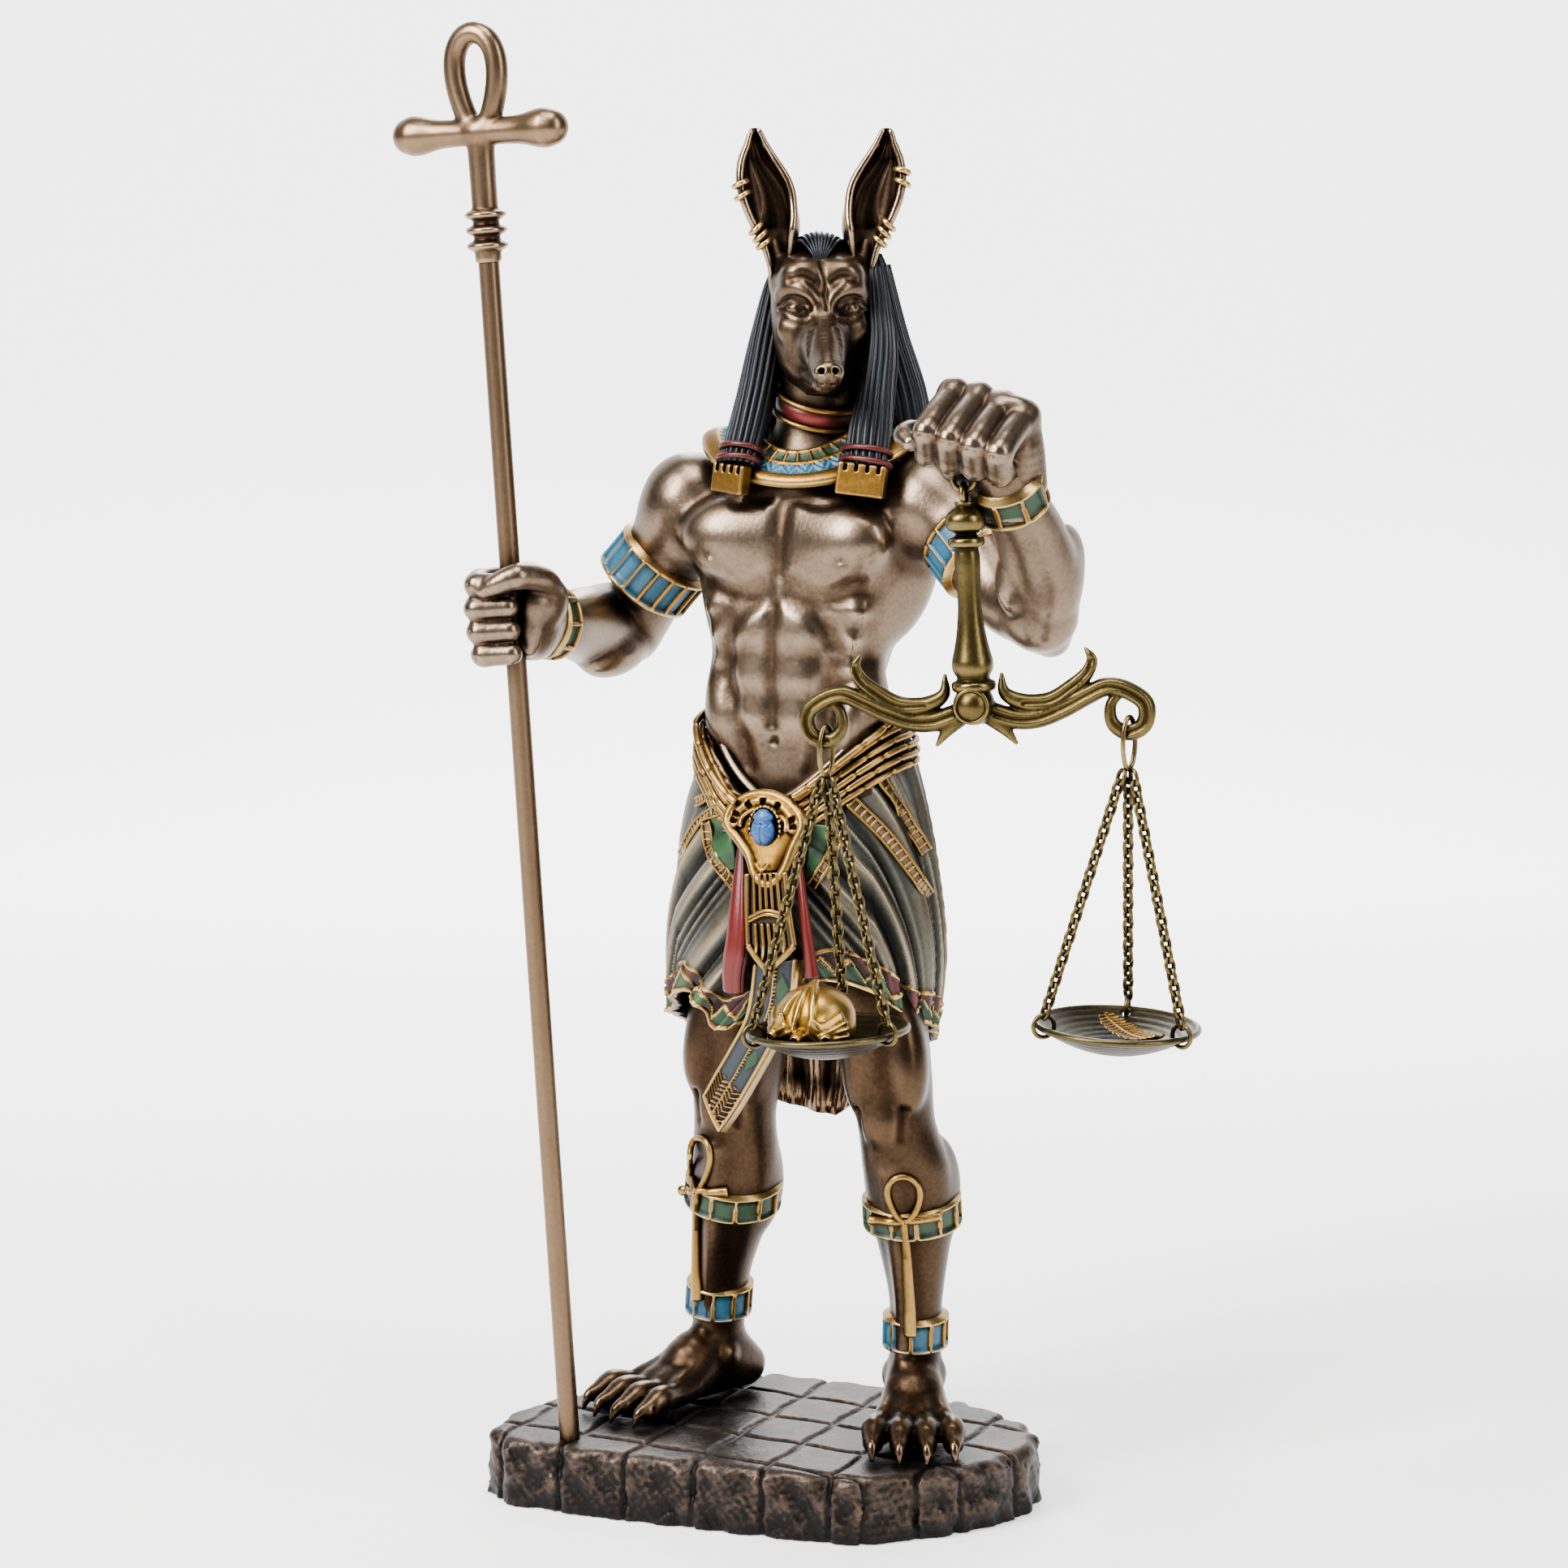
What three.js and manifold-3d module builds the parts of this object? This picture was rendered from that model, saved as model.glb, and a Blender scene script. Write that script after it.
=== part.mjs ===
// Desk statue of a standing jackal-headed guardian of the dead, weighing a heart against a feather.
// Cast figure on a paved stone base, with a long ankh staff in its right hand and a hanging brass
// balance in its left. Millimetres, +Z up, front towards -Y. The origin is on the underside of the
// base, below the middle of the paving.
import * as THREE from "three";
import { mergeVertices } from "three/addons/utils/BufferGeometryUtils.js";
import Module from "manifold-3d";

const wasm = await Module();
wasm.setup();

// Driving dimensions
const baseThickness = 14;
const baseEdgeRound = 4;
const pavingPitch = 14.3;
const pavingColumns = 7;
const pavingRows = 4;
const firstColumn = -46.5;
const firstRow = -23.6;
const grooveWidth = 1.1;
const grooveDepth = 0.8;
const socketDepth = 4;
const fitClearance = 0.3;

const figureHeight = 263;
const bodyPlace = [1, 10.5];
const headPlace = [3.2, 0.2, 231];
const headTurnDeg = 29;
const bandRise = 0.9;
const lockDepth = 0.88;
const fingerRadius = 2.4;
const fingerPitch = 4.6;

const staffFoot = [-31.8, -26.1];
const staffLean = [-0.0658, -0.0335];
const rodRadius = 2.05;
const rodTopHeight = 239.5;
const staffRingRadius = 0.95;
const staffRingPitch = 3;
const staffRingCount = 3;
const ankhStemLength = 20.4;
const ankhLoopRise = 19;
const ankhLoopHalfWidth = 4.6;
const ankhStrandRadius = 2.3;
const ankhArmSpan = 31.5;
const ankhArmRadius = 2.7;
const ankhArmEndRadius = 4.3;

const gripHeightRight = 168;
const gripLeft = [55, -26.3, 219];
const hangRingRadius = 2.35;
const hangRingWire = 0.52;
const hangRingFromGrip = [-1.6, -1, -6.8];

const balanceTurnDeg = 14;
const balanceTiltDeg = 3.4;
const stemLength = 39.6;
const bossRadius = 3.9;
const eyeRadius = 1.75;
const eyeWire = 0.62;
const beamHalfSpan = 29;
const hookSag = 2.4;
const hookRadius = 3.2;
const hookStrand = 1.5;
const linkWire = 0.47;
const hangerHeight = 11.2;
const hangerWidth = 4.8;
const hangerTurnDeg = 77;
const chainLinkCount = 22;
const chainLinkWidth = 2.3;
const chainLinkWaist = 0.8;
const chainLength = 48.6;
const chainTopGap = 1.3;
const chainTopSpread = 1.3;
const chainsPerPan = 3;
const firstChainDeg = -135;
const panRadius = 15.6;
const panDepth = 5.2;
const panWall = 0.7;
const rimRise = 0.3;
const panRingRadius = 2.1;
const panHoleInset = 1.7;
const panHoleRadius = 1;
const heartPanTiltDeg = 3;
const hangLeanDeg = { left: -0.6, right: 1.7 };
const heartSize = 16.4;
const heartShift = [-1.9, -0.9];
const featherLength = 18;
const featherHeading = [0.84, -0.54];
const featherShift = [1, 3.6];
const featherHalfWidth = 2.6;

// Colours and finishes
const finish = (color, roughness, metalness) =>
  new THREE.MeshStandardMaterial({ color, roughness, metalness });
const castBronze = finish(0x8a7360, 0.35, 0.85);
const stoneBronze = finish(0x4a423b, 0.55, 0.7);
const satinBronze = finish(0x9a8069, 0.38, 0.9);
const agedBrass = finish(0x7d6d45, 0.4, 0.95);
const goldLeaf = finish(0xc8973e, 0.3, 0.95);
const darkBrass = finish(0x5d5238, 0.45, 0.9);

// Solids
const toRadians = THREE.MathUtils.degToRad;
const lerp = THREE.MathUtils.lerp;

function solidOf(geometry) {
  const bare = geometry.index ? geometry.toNonIndexed() : geometry.clone();
  bare.deleteAttribute("normal");
  bare.deleteAttribute("uv");
  const merged = mergeVertices(bare, 1e-3);
  return new wasm.Manifold(
    new wasm.Mesh({
      numProp: 3,
      vertProperties: merged.attributes.position.array,
      triVerts: new Uint32Array(merged.index.array),
    }),
  );
}

function geometryOf(solid) {
  const mesh = solid.getMesh();
  const points = new Float32Array(mesh.numVert * 3);
  for (let i = 0; i < mesh.numVert; i++)
    for (let k = 0; k < 3; k++) points[i * 3 + k] = mesh.vertProperties[i * mesh.numProp + k];
  const geometry = new THREE.BufferGeometry();
  geometry.setAttribute("position", new THREE.BufferAttribute(points, 3));
  geometry.setIndex(new THREE.BufferAttribute(new Uint32Array(mesh.triVerts), 1));
  geometry.computeVertexNormals();
  return geometry;
}

// The same solid turned by Euler angles in degrees, then moved.
function posed(solid, place, turn = [0, 0, 0]) {
  const spin = new THREE.Euler(...turn.map(toRadians), "ZYX");
  const move = new THREE.Matrix4().makeRotationFromEuler(spin).setPosition(...place);
  return solidOf(geometryOf(solid).applyMatrix4(move));
}

const joined = (solids) => solids.reduce((whole, next) => whole.add(next));
const cutBy = (solid, cutters) => cutters.reduce((rest, next) => rest.subtract(next), solid);

// Skins a stack of closed rings, each an array of points in the same order, with a fan over each end.
function skin(rings) {
  const sides = rings[0].length;
  const middle = (ring) =>
    ring.reduce((sum, p) => sum.add(p), new THREE.Vector3()).divideScalar(ring.length);
  const points = [...rings.flat(), middle(rings[0]), middle(rings[rings.length - 1])];
  const firstMiddle = points.length - 2;
  const lastRing = (rings.length - 1) * sides;
  const faces = [];
  for (let i = 0; i < sides; i++) {
    const j = (i + 1) % sides;
    faces.push([firstMiddle, j, i], [firstMiddle + 1, lastRing + i, lastRing + j]);
    for (let low = 0; low < lastRing; low += sides) {
      const high = low + sides;
      faces.push([low + i, low + j, high + j], [low + i, high + j, high + i]);
    }
  }
  const shell = (order) => {
    const geometry = new THREE.BufferGeometry().setFromPoints(points);
    geometry.setIndex(faces.flatMap(([a, b, c]) => (order > 0 ? [a, b, c] : [b, a, c])));
    return solidOf(geometry);
  };
  const solid = shell(1);
  return solid.volume() > 0 ? solid : shell(-1);
}

// A limb through stations [x, y, z, half width, half depth], its width along the side direction.
// A flute below 1 draws every second corner in, so the skin runs in locks or pleats.
function limb(stations, sides = 8, side = [1, 0, 0], flute = 1) {
  const places = stations.map((s) => new THREE.Vector3(s[0], s[1], s[2]));
  const wanted = new THREE.Vector3(...side);
  return skin(
    stations.map((s, i) => {
      const next = places[Math.min(i + 1, places.length - 1)];
      const along = next.clone().sub(places[Math.max(i - 1, 0)]).normalize();
      const across = wanted.clone().addScaledVector(along, -wanted.dot(along)).normalize();
      const deep = new THREE.Vector3().crossVectors(along, across);
      return Array.from({ length: sides }, (_, k) => {
        const angle = (2 * Math.PI * (k + 0.5)) / sides;
        const reach = k % 2 ? flute : 1;
        return places[i]
          .clone()
          .addScaledVector(across, s[3] * reach * Math.cos(angle))
          .addScaledVector(deep, (s[4] ?? s[3]) * reach * Math.sin(angle));
      });
    }),
  );
}

function ellipsoid(centre, radii, turn = [0, 0, 0], wide = 8, high = 6) {
  const geometry = new THREE.SphereGeometry(1, wide, high);
  geometry.rotateX(Math.PI / 2);
  geometry.scale(...radii);
  const spin = new THREE.Euler(...turn.map(toRadians));
  geometry.applyMatrix4(new THREE.Matrix4().makeRotationFromEuler(spin));
  geometry.translate(...centre);
  return solidOf(geometry);
}

// A bar along a smooth curve through points, with radii spread evenly along it.
function bar(points, radii, sides = 5, steps = 5) {
  const curve = new THREE.CatmullRomCurve3(
    points.map((p) => new THREE.Vector3(...p)),
    false,
    "centripetal",
  );
  const radiusAt = (t) => {
    const at = t * (radii.length - 1);
    const low = Math.min(Math.floor(at), radii.length - 2);
    return lerp(radii[low], radii[low + 1], at - low);
  };
  const frames = curve.computeFrenetFrames(steps, false);
  return skin(
    Array.from({ length: steps + 1 }, (_, i) => {
      const t = i / steps;
      const centre = curve.getPointAt(t);
      return Array.from({ length: sides }, (_, k) => {
        const angle = (2 * Math.PI * k) / sides;
        return centre
          .clone()
          .addScaledVector(frames.normals[i], radiusAt(t) * Math.cos(angle))
          .addScaledVector(frames.binormals[i], radiusAt(t) * Math.sin(angle));
      });
    }),
  );
}

// A wire ring lying flat round the origin, drawn out along Y by a stretch each way.
function ring(radius, wire, around = 10, sides = 4, stretch = 0) {
  const geometry = new THREE.TorusGeometry(radius, wire, sides, around);
  geometry.rotateZ(Math.PI / around);
  const place = geometry.attributes.position;
  for (let i = 0; i < place.count; i++)
    place.setY(i, place.getY(i) + Math.sign(place.getY(i)) * stretch);
  return solidOf(geometry);
}

function post(from, to, radius, sides = 12) {
  const start = new THREE.Vector3(...from);
  const end = new THREE.Vector3(...to);
  const geometry = new THREE.CylinderGeometry(radius, radius, start.distanceTo(end), sides);
  geometry.rotateX(Math.PI / 2);
  const along = end.clone().sub(start).normalize();
  geometry.applyQuaternion(
    new THREE.Quaternion().setFromUnitVectors(new THREE.Vector3(0, 0, 1), along),
  );
  geometry.translate(...start.add(end).divideScalar(2).toArray());
  return solidOf(geometry);
}

// The figure is carved in its own frame, soles at zero height, at this height to the ear tips.
const carvedHeight = 263;
const figureScale = figureHeight / carvedHeight;
const figureOrigin = [...bodyPlace, baseThickness];
const toFigure = (p) => p.map((value, i) => (value - figureOrigin[i]) / figureScale);
const fromFigure = (p) => p.map((value, i) => value * figureScale + figureOrigin[i]);

// The staff's middle line, at a height above the paving
const staffAt = (height) => [
  staffFoot[0] + staffLean[0] * height,
  staffFoot[1] + staffLean[1] * height,
  baseThickness + height,
];
const staffAlong = new THREE.Vector3(...staffLean, 1).normalize();

// Base: a paved slab with a rounded edge
const baseOutline = [
  [-44, -35.5], [-20, -33.5], [11, -29], [31, -25.5], [47, -10], [53.5, 5], [52, 19],
  [42, 27.5], [27, 34], [1, 35], [-20, 32.5], [-33, 26], [-44, 11], [-53, -9], [-53.5, -27],
];

function baseSlab() {
  const outline = new THREE.CatmullRomCurve3(
    baseOutline.map(([x, y]) => new THREE.Vector3(x, y, 0)),
    true,
    "catmullrom",
    0.4,
  ).getPoints(20);
  outline.pop();
  const inset = (by, z) =>
    outline.map((p) => {
      const share = 1 - by / Math.hypot(p.x, p.y);
      return new THREE.Vector3(p.x * share, p.y * share, z);
    });
  const shoulder = [0, 45, 90].map((deg) =>
    inset(
      baseEdgeRound * (1 - Math.cos(toRadians(deg))),
      baseThickness - baseEdgeRound * 0.8 * (1 - Math.sin(toRadians(deg))),
    ),
  );
  return skin([inset(1.2, 0), inset(0, 1.6), ...shoulder]);
}

function pavingGrooves() {
  const long = 140;
  const groove = (x, y, turn) => {
    const shape = new THREE.CylinderGeometry(grooveWidth, grooveWidth, long, 4);
    shape.scale(1, 1, grooveDepth / grooveWidth);
    shape.rotateZ(toRadians(turn));
    shape.translate(x, y, baseThickness);
    return solidOf(shape);
  };
  const columns = Array.from({ length: pavingColumns }, (_, i) =>
    groove(firstColumn + i * pavingPitch, 0, 0),
  );
  const rows = Array.from({ length: pavingRows }, (_, i) =>
    groove(0, firstRow + i * pavingPitch, 90),
  );
  return [...columns, ...rows];
}

function base() {
  const socket = post(staffAt(-socketDepth), staffAt(5), rodRadius + fitClearance);
  return cutBy(baseSlab(), [...pavingGrooves(), socket]);
}

// Figure: cast in one piece
function torso() {
  const trunk = limb(
    [
      [-0.6, 0.4, 112, 20, 14],
      [-0.8, 0, 134, 20.4, 14],
      [-1, -0.8, 152, 18, 12.2],
      [-0.9, -0.6, 159, 19.4, 12.8],
      [0, 0, 168, 23.4, 14.6],
      [0.6, 0.4, 178, 26, 15.4],
      [0.8, 0.8, 187, 25, 14.8],
      [1, 1.8, 195, 19, 12.4],
      [1.2, 2.6, 201, 10.5, 9.6],
      [2.6, 1, 216, 7.6, 8],
    ],
    12,
  );
  const chest = [-1, 1].map((s) =>
    ellipsoid([s * 11 + 0.4, -8, 180.5], [14.6, 7.6, 10.6], [0, 0, s * -10], 8, 5),
  );
  const belly = [-1, 1].map((s) =>
    limb(
      [
        [s * 4.6 - 0.6, -9, 174, 4, 4],
        [s * 5 - 0.8, -9.6, 162, 5.4, 4.4],
        [s * 4.4 - 0.8, -9, 146, 4.6, 4.4],
      ],
      6,
    ),
  );
  return [trunk, ...chest, ...belly];
}

// The stations of a plain band that stands proud of a limb, between two points of its middle line.
function bandStations(from, to, wide, deep = wide) {
  return [
    [...from, wide, deep],
    [...from, wide + bandRise, deep + bandRise],
    [...to, wide + bandRise, deep + bandRise],
    [...to, wide, deep],
  ];
}

// What each hand holds, in the figure's frame, and the ring that hangs from the left fist
const hangRingCentre = gripLeft.map((value, i) => value + hangRingFromGrip[i]);
const rightGrip = toFigure(staffAt(gripHeightRight));
const leftGrip = toFigure(gripLeft);
const near = (point) => (x, y, z) => [point[0] + x, point[1] + y, point[2] + z];
const between = (from, to, share) => from.map((value, i) => lerp(value, to[i], share));

// Each forearm runs from the elbow to the wrist behind its grip.
function rightArm() {
  const by = near(rightGrip);
  const elbow = [-45.2, 9, 160.2];
  const wrist = by(1.2, 18.6, -3.4);
  return [
    ellipsoid([-25.6, -0.8, 186.2], [10.3, 10, 11.6], [0, 22, 0]),
    limb([
      [-26.5, -0.5, 188, 8.8, 9],
      ...bandStations([-32.6, 1.4, 178.6], [-37.4, 4.2, 171.2], 8.5, 9),
      [-43.5, 9.5, 161.5, 7.2, 7.8],
    ]),
    limb([
      [-44.5, 16, 158.5, 3.6, 4],
      [...elbow, 7.8, 8.4],
      [...between(elbow, wrist, 0.34), 8, 9],
      ...bandStations(between(elbow, wrist, 0.88), wrist, 5.8, 6.7),
      [...by(1, 11.6, -2), 4.8, 6.2],
    ]),
  ];
}

function leftArm() {
  const by = near(leftGrip);
  const elbow = [57.6, -13.6, 171];
  const wrist = by(4.6, 7, -10.6);
  return [
    ellipsoid([26.6, 1.6, 188.6], [10.3, 10, 10.8], [0, -30, 0]),
    limb(
      [
        [28, 2.4, 190, 8.8, 9],
        ...bandStations([35.6, -1.4, 184], [42, -4.4, 178.6], 8.8),
        [53, -10.5, 169, 7.4, 7.8],
      ],
      8,
      [0, 1, 0],
    ),
    limb([
      [57.6, -9.4, 164, 3.8, 4],
      [...elbow, 8.6, 8.2],
      [...between(elbow, wrist, 0.45), 7.8, 7.6],
      ...bandStations(between(elbow, wrist, 0.78), wrist, 6.7, 6.3),
    ]),
  ];
}

// A finger curled in an arc round a gripped axis.
function curledFinger(centre, along, start, radius, fromDeg, toDeg, thick) {
  const first = new THREE.Vector3(...start);
  first.addScaledVector(along, -first.dot(along)).normalize();
  const knuckles = [0, 0.34, 0.67, 1].map((t) =>
    first
      .clone()
      .applyAxisAngle(along, toRadians(lerp(fromDeg, toDeg, t)))
      .multiplyScalar(radius)
      .add(centre)
      .toArray(),
  );
  return bar(knuckles, [thick, thick * 1.05, thick * 0.95, thick * 0.7], 5, 4);
}

function rightHand() {
  const by = near(rightGrip);
  const at = (shift) => new THREE.Vector3(...rightGrip).addScaledVector(staffAlong, shift);
  const fingers = [1.5, 0.5, -0.5, -1.5].map((slot) =>
    curledFinger(at(slot * fingerPitch), staffAlong, [0.3, 1, 0], 5.7, 20, 235, fingerRadius),
  );
  const palm = limb(
    [[...by(0.6, 13.5, -2), 4.8, 6], [...by(3, 6.4, -1), 5.2, 9.6], [...by(4.6, 0.4, 0.6), 3.4, 8.8]],
    6,
  );
  const thumb = bar(
    [by(7, 5, 3), by(7.2, -1.4, 7.6), by(3.6, -6, 7.8), by(-0.4, -6.6, 5.6)],
    [3, 2.7, 2.5, 1.9],
    5,
    4,
  );
  const boreRadius = (rodRadius + fitClearance) / figureScale;
  const bore = post(at(-16).toArray(), at(16).toArray(), boreRadius);
  return { solids: [...fingers, palm, thumb], bore };
}

function leftHand() {
  const by = near(leftGrip);
  const along = new THREE.Vector3(1, 0.12, -0.26).normalize();
  const at = (shift) => new THREE.Vector3(...leftGrip).addScaledVector(along, shift);
  const fingers = [-1.5, -0.5, 0.5, 1.5].map((slot) =>
    curledFinger(at(slot * 4.7 + 0.4), along, [0, 0.55, 0.8], 5.8, 0, 205, fingerRadius * 1.05),
  );
  const palm = limb(
    [[...by(4.2, 6.8, -11), 6, 5.4], [...by(2.8, 4.4, -2), 8.6, 5.2], [...by(1, 3.4, 6), 7.8, 3.6]],
    6,
  );
  const thumb = bar(
    [by(-4, 3, -4.6), by(-9, -1, -0.6), by(-11.4, -4, 2), by(-8.2, -6.6, 1)],
    [3.1, 2.6, 2.5, 1.8],
    5,
    4,
  );
  return [...fingers, palm, thumb];
}

// A clawed foot: heel, arch and instep, then four toes that each end in a curved claw.
function foot(heel, toward, length) {
  const ahead = new THREE.Vector3(...toward, 0).normalize();
  const left = new THREE.Vector3(-ahead.y, ahead.x, 0);
  const at = (forward, aside, z) => [
    heel[0] + ahead.x * forward + left.x * aside,
    heel[1] + ahead.y * forward + left.y * aside,
    z,
  ];
  const sole = limb(
    [
      [...at(0, 0, 4.4), 3.6, 4.6],
      [...at(5, 0, 6), 5.6, 6.4],
      [...at(14, 0, 7), 6.6, 8],
      [...at(length * 0.66, 0, 3.4), 9.2, 3.8],
    ],
    6,
    left.toArray(),
  );
  const toes = [-1.5, -0.5, 0.5, 1.5].map((slot) => {
    const reach = length - Math.abs(slot) * 1.6;
    const line = [
      at(length * 0.56, slot * 3.9, 5.4),
      at(reach * 0.84, slot * 5.2, 6.2),
      at(reach, slot * 5.4, 0.4),
    ];
    return bar(line, [2.6, 2.6, 0.6], 4, 3);
  });
  return [sole, ...toes];
}

function legs() {
  const right = limb([
    [-9, 2, 116, 12, 12],
    [-12, -0.6, 95, 11.8, 12.2],
    [-14.4, -3, 72, 9.6, 10.2],
    [-15, -2, 56, 9.2, 9.4],
    ...bandStations([-15.6, -1, 48.4], [-16.6, 0, 42.6], 9.5),
    [-18.8, 1.8, 35, 8.1, 8.2],
    ...bandStations([-21.2, 3, 24.4], [-21.8, 3.6, 17.6], 6.5, 7),
    [-22, 4, 10, 6, 7.4],
  ]);
  const left = limb([
    [10.6, 0, 116, 12, 12],
    [15.6, -3, 95, 11.6, 12],
    [21.6, -4.8, 74, 8.7, 9.6],
    [24.2, -2, 58, 9.2, 9.4],
    ...bandStations([24, 1.4, 48.6], [23.9, 2.4, 42.4], 9.5),
    [23.8, 3.4, 37, 7.8, 7.9],
    ...bandStations([23.5, 4.8, 22.6], [23.2, 5.2, 15.8], 6.2, 6.7),
    [23, 5.6, 9, 6.1, 7],
  ]);
  const rightFoot = foot([-18.6, 10, 0], [-0.37, -0.93], 40);
  const leftFoot = foot([18.8, 14, 0], [0.42, -0.9], 42.5);
  return [right, left, ...rightFoot, ...leftFoot];
}

// Kilt: pleated cloth hung from a rolled belt at the hips, falling to a long drape behind.
function kilt() {
  const around = 22;
  const waist = { wide: 19.6, deep: 15.4, height: 147 };
  const spread = { wide: 9.2, deep: 6.8, fall: 45 };
  const hang = { side: 86, drape: 28 };
  const levels = [[0, 0], [0.25, 0], [0.52, 0], [0.84, 0.4], [0.88, 2.2], [0.98, 2]];
  const rings = levels.map(([level, roll]) =>
    Array.from({ length: around }, (_, i) => {
      const angle = (2 * Math.PI * i) / around;
      const aside = Math.sin(angle);
      const front = Math.max(0, Math.cos(angle));
      const behind = Math.max(0, -Math.cos(angle));
      const top = waist.height - 17 * front ** 2 - 3 * aside;
      const sideHem = hang.side + 2.4 * aside + 3 * front;
      const z = lerp(sideHem - hang.drape * behind ** 1.6 + 12 * aside * behind, top, level);
      const drop = Math.max(0, waist.height - z) / spread.fall;
      const trail = Math.max(0, drop - 1.1);
      const flare = Math.min(drop, 1.1) ** 0.7 - 0.45 * trail;
      const swell = roll + (i % 2 ? -0.7 : 0.5) * Math.min(drop, 1);
      return new THREE.Vector3(
        0.2 + (waist.wide + spread.wide * flare + swell) * aside - 3.4 * trail,
        0.4 - (waist.deep + spread.deep * flare + swell) * Math.cos(angle),
        z,
      );
    }),
  );
  const inside = limb([[0, 0, 40, 24.6, 17.4], [0, 0, 82, 25.4, 18.4], [0, 0, 96, 20, 13]], 12);
  return skin(rings).subtract(inside);
}

// What hangs at the front: a long sash, a ribbed apron over it, and the buckle.
function kiltDressing() {
  const sash = limb(
    [
      [5, -22.4, 108, 4.6, 2.4],
      [2.6, -23.2, 87, 5.4, 2.4],
      [-5, -20.6, 71, 5.8, 2],
      [-8.4, -19.6, 61.6, 1.4, 1.2],
    ],
    6,
  );
  const apron = limb(
    [[3.6, -20.6, 124, 4.2, 2.4], [5.4, -25, 102, 4.4, 2.4], [6, -25.6, 96.6, 0.8, 1]],
    6,
  );
  const buckle = limb(
    [[2.4, -17.6, 134, 3.6, 1.6], [3, -20.4, 126, 5.6, 3], [3.8, -22.4, 115, 1.6, 1.6]],
    6,
  );
  return [sash, apron, buckle];
}

// Head: jackal mask with tall ears, turned towards the balance
function ear(s) {
  const across = [1, s * -0.15, 0];
  const leaf = limb(
    [
      [s * 6.6, 0.4, 4.6, 2.8, 3.2],
      [s * 8.2, 0.4, 9.6, 4, 3.2],
      [s * 10, 0.2, 15.6, 6.2, 3],
      [s * 11, 0.4, 21, 5.8, 2.7],
      [s * 11.8, 1.2, 27.6, 3, 1.9],
      [s * 12.1, 1.8, 32, 0.5, 0.5],
    ],
    6,
    across,
  );
  const hollow = limb(
    [
      [s * 8, -2.8, 8, 1.2, 1.6],
      [s * 10.2, -2.8, 17.5, 4.3, 2.8],
      [s * 11.8, -0.2, 28.6, 0.6, 0.8],
    ],
    5,
    across,
  );
  return leaf.subtract(hollow);
}

function head() {
  const face = limb(
    [
      [0, 5, 0.4, 9.4, 9.4],
      [0, -5, -1, 10.2, 8.8],
      [0, -10.5, -5, 8.2, 7.6],
      [0, -16.5, -9.8, 5.2, 5.4],
      [0, -22, -13.4, 3.8, 4],
      [0, -25.6, -15, 3, 3],
    ],
    10,
  );
  const jaw = limb([[0, 0, -7, 8.4, 6.2], [0, -9, -12, 6.8, 4.4], [0, -21.6, -18.2, 2.6, 2]], 6);
  return posed(joined([face, jaw, ear(-1), ear(1)]), headPlace, [0, 0, headTurnDeg]);
}

// Wig: strands in flat locks, with two lappets on the chest and a broad fall behind
function wig() {
  const cap = ellipsoid([4.4, 2.6, 230.8], [11, 11, 11.4], [0, 0, 0], 10, 6);
  const backFall = limb(
    [
      [5.4, 7, 234, 8.6, 5],
      [5.6, 11, 225, 10.2, 6.6],
      [5.2, 14.6, 211, 15, 7],
      [4.6, 16.4, 196, 18, 4.6],
    ],
    12,
    [1, 0, 0],
    lockDepth,
  );
  const lappets = [
    [
      [-4.4, 4.6, 232, 3, 5],
      [-6.2, 0.4, 222, 3.3, 5.4],
      [-7.4, -6.6, 210, 4, 4.4],
      [-7.4, -14.6, 198, 4.8, 2.6],
    ],
    [
      [12.4, 2, 234, 3.2, 5],
      [14.6, -0.4, 224, 3.7, 5.4],
      [16.6, -4.2, 210, 4.7, 4.4],
      [18, -9, 198.6, 5.2, 2.8],
    ],
  ].map((line) => limb(line, 8, [1, 0, 0], lockDepth));
  const tips = [
    limb([[-7.4, -14.2, 200, 5.8, 3.4], [-8, -17, 192.4, 5.6, 3]], 4),
    limb([[18, -8.6, 200.4, 6.4, 3.4], [17.4, -12, 190.8, 6.2, 3]], 4),
  ];
  return [cap, backFall, ...lappets, ...tips];
}

// Broad collar lying on the shoulders, and a choker on the neck
function neckwear() {
  const around = 12;
  const rims = [[10, 9.4, 203.4, -3], [17, 13, 201.4, -5], [23, 16.2, 198.8, -6.4], [8, 8, 192, -4]];
  const collar = skin(
    rims.map(([wide, deep, z, dip]) =>
      Array.from({ length: around }, (_, i) => {
        const angle = (2 * Math.PI * i) / around;
        const front = Math.max(0, Math.cos(angle));
        return new THREE.Vector3(
          1.2 + wide * Math.sin(angle),
          1.4 - deep * Math.cos(angle),
          z + dip * front ** 1.5,
        );
      }),
    ),
  );
  const choker = limb([[1.7, 1.6, 205.6, 8.6, 8.9], [2, 1.2, 209.8, 8.6, 8.9]]);
  return [collar, choker];
}

function figure() {
  const right = rightHand();
  const body = joined([
    ...torso(),
    ...rightArm(),
    ...leftArm(),
    ...right.solids,
    ...leftHand(),
    ...legs(),
    kilt(),
    ...kiltDressing(),
    head(),
    ...wig(),
    ...neckwear(),
  ]);
  const room = ring(hangRingRadius / figureScale, (hangRingWire + fitClearance) / figureScale, 12, 4);
  const ringRoom = posed(room, toFigure(hangRingCentre), [90, 0, 0]);
  const under = solidOf(new THREE.BoxGeometry(carvedHeight, carvedHeight, 20).translate(0, 0, -10));
  const cast = geometryOf(cutBy(body, [right.bore, under, ringRoom]));
  return solidOf(cast.scale(figureScale, figureScale, figureScale));
}

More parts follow.
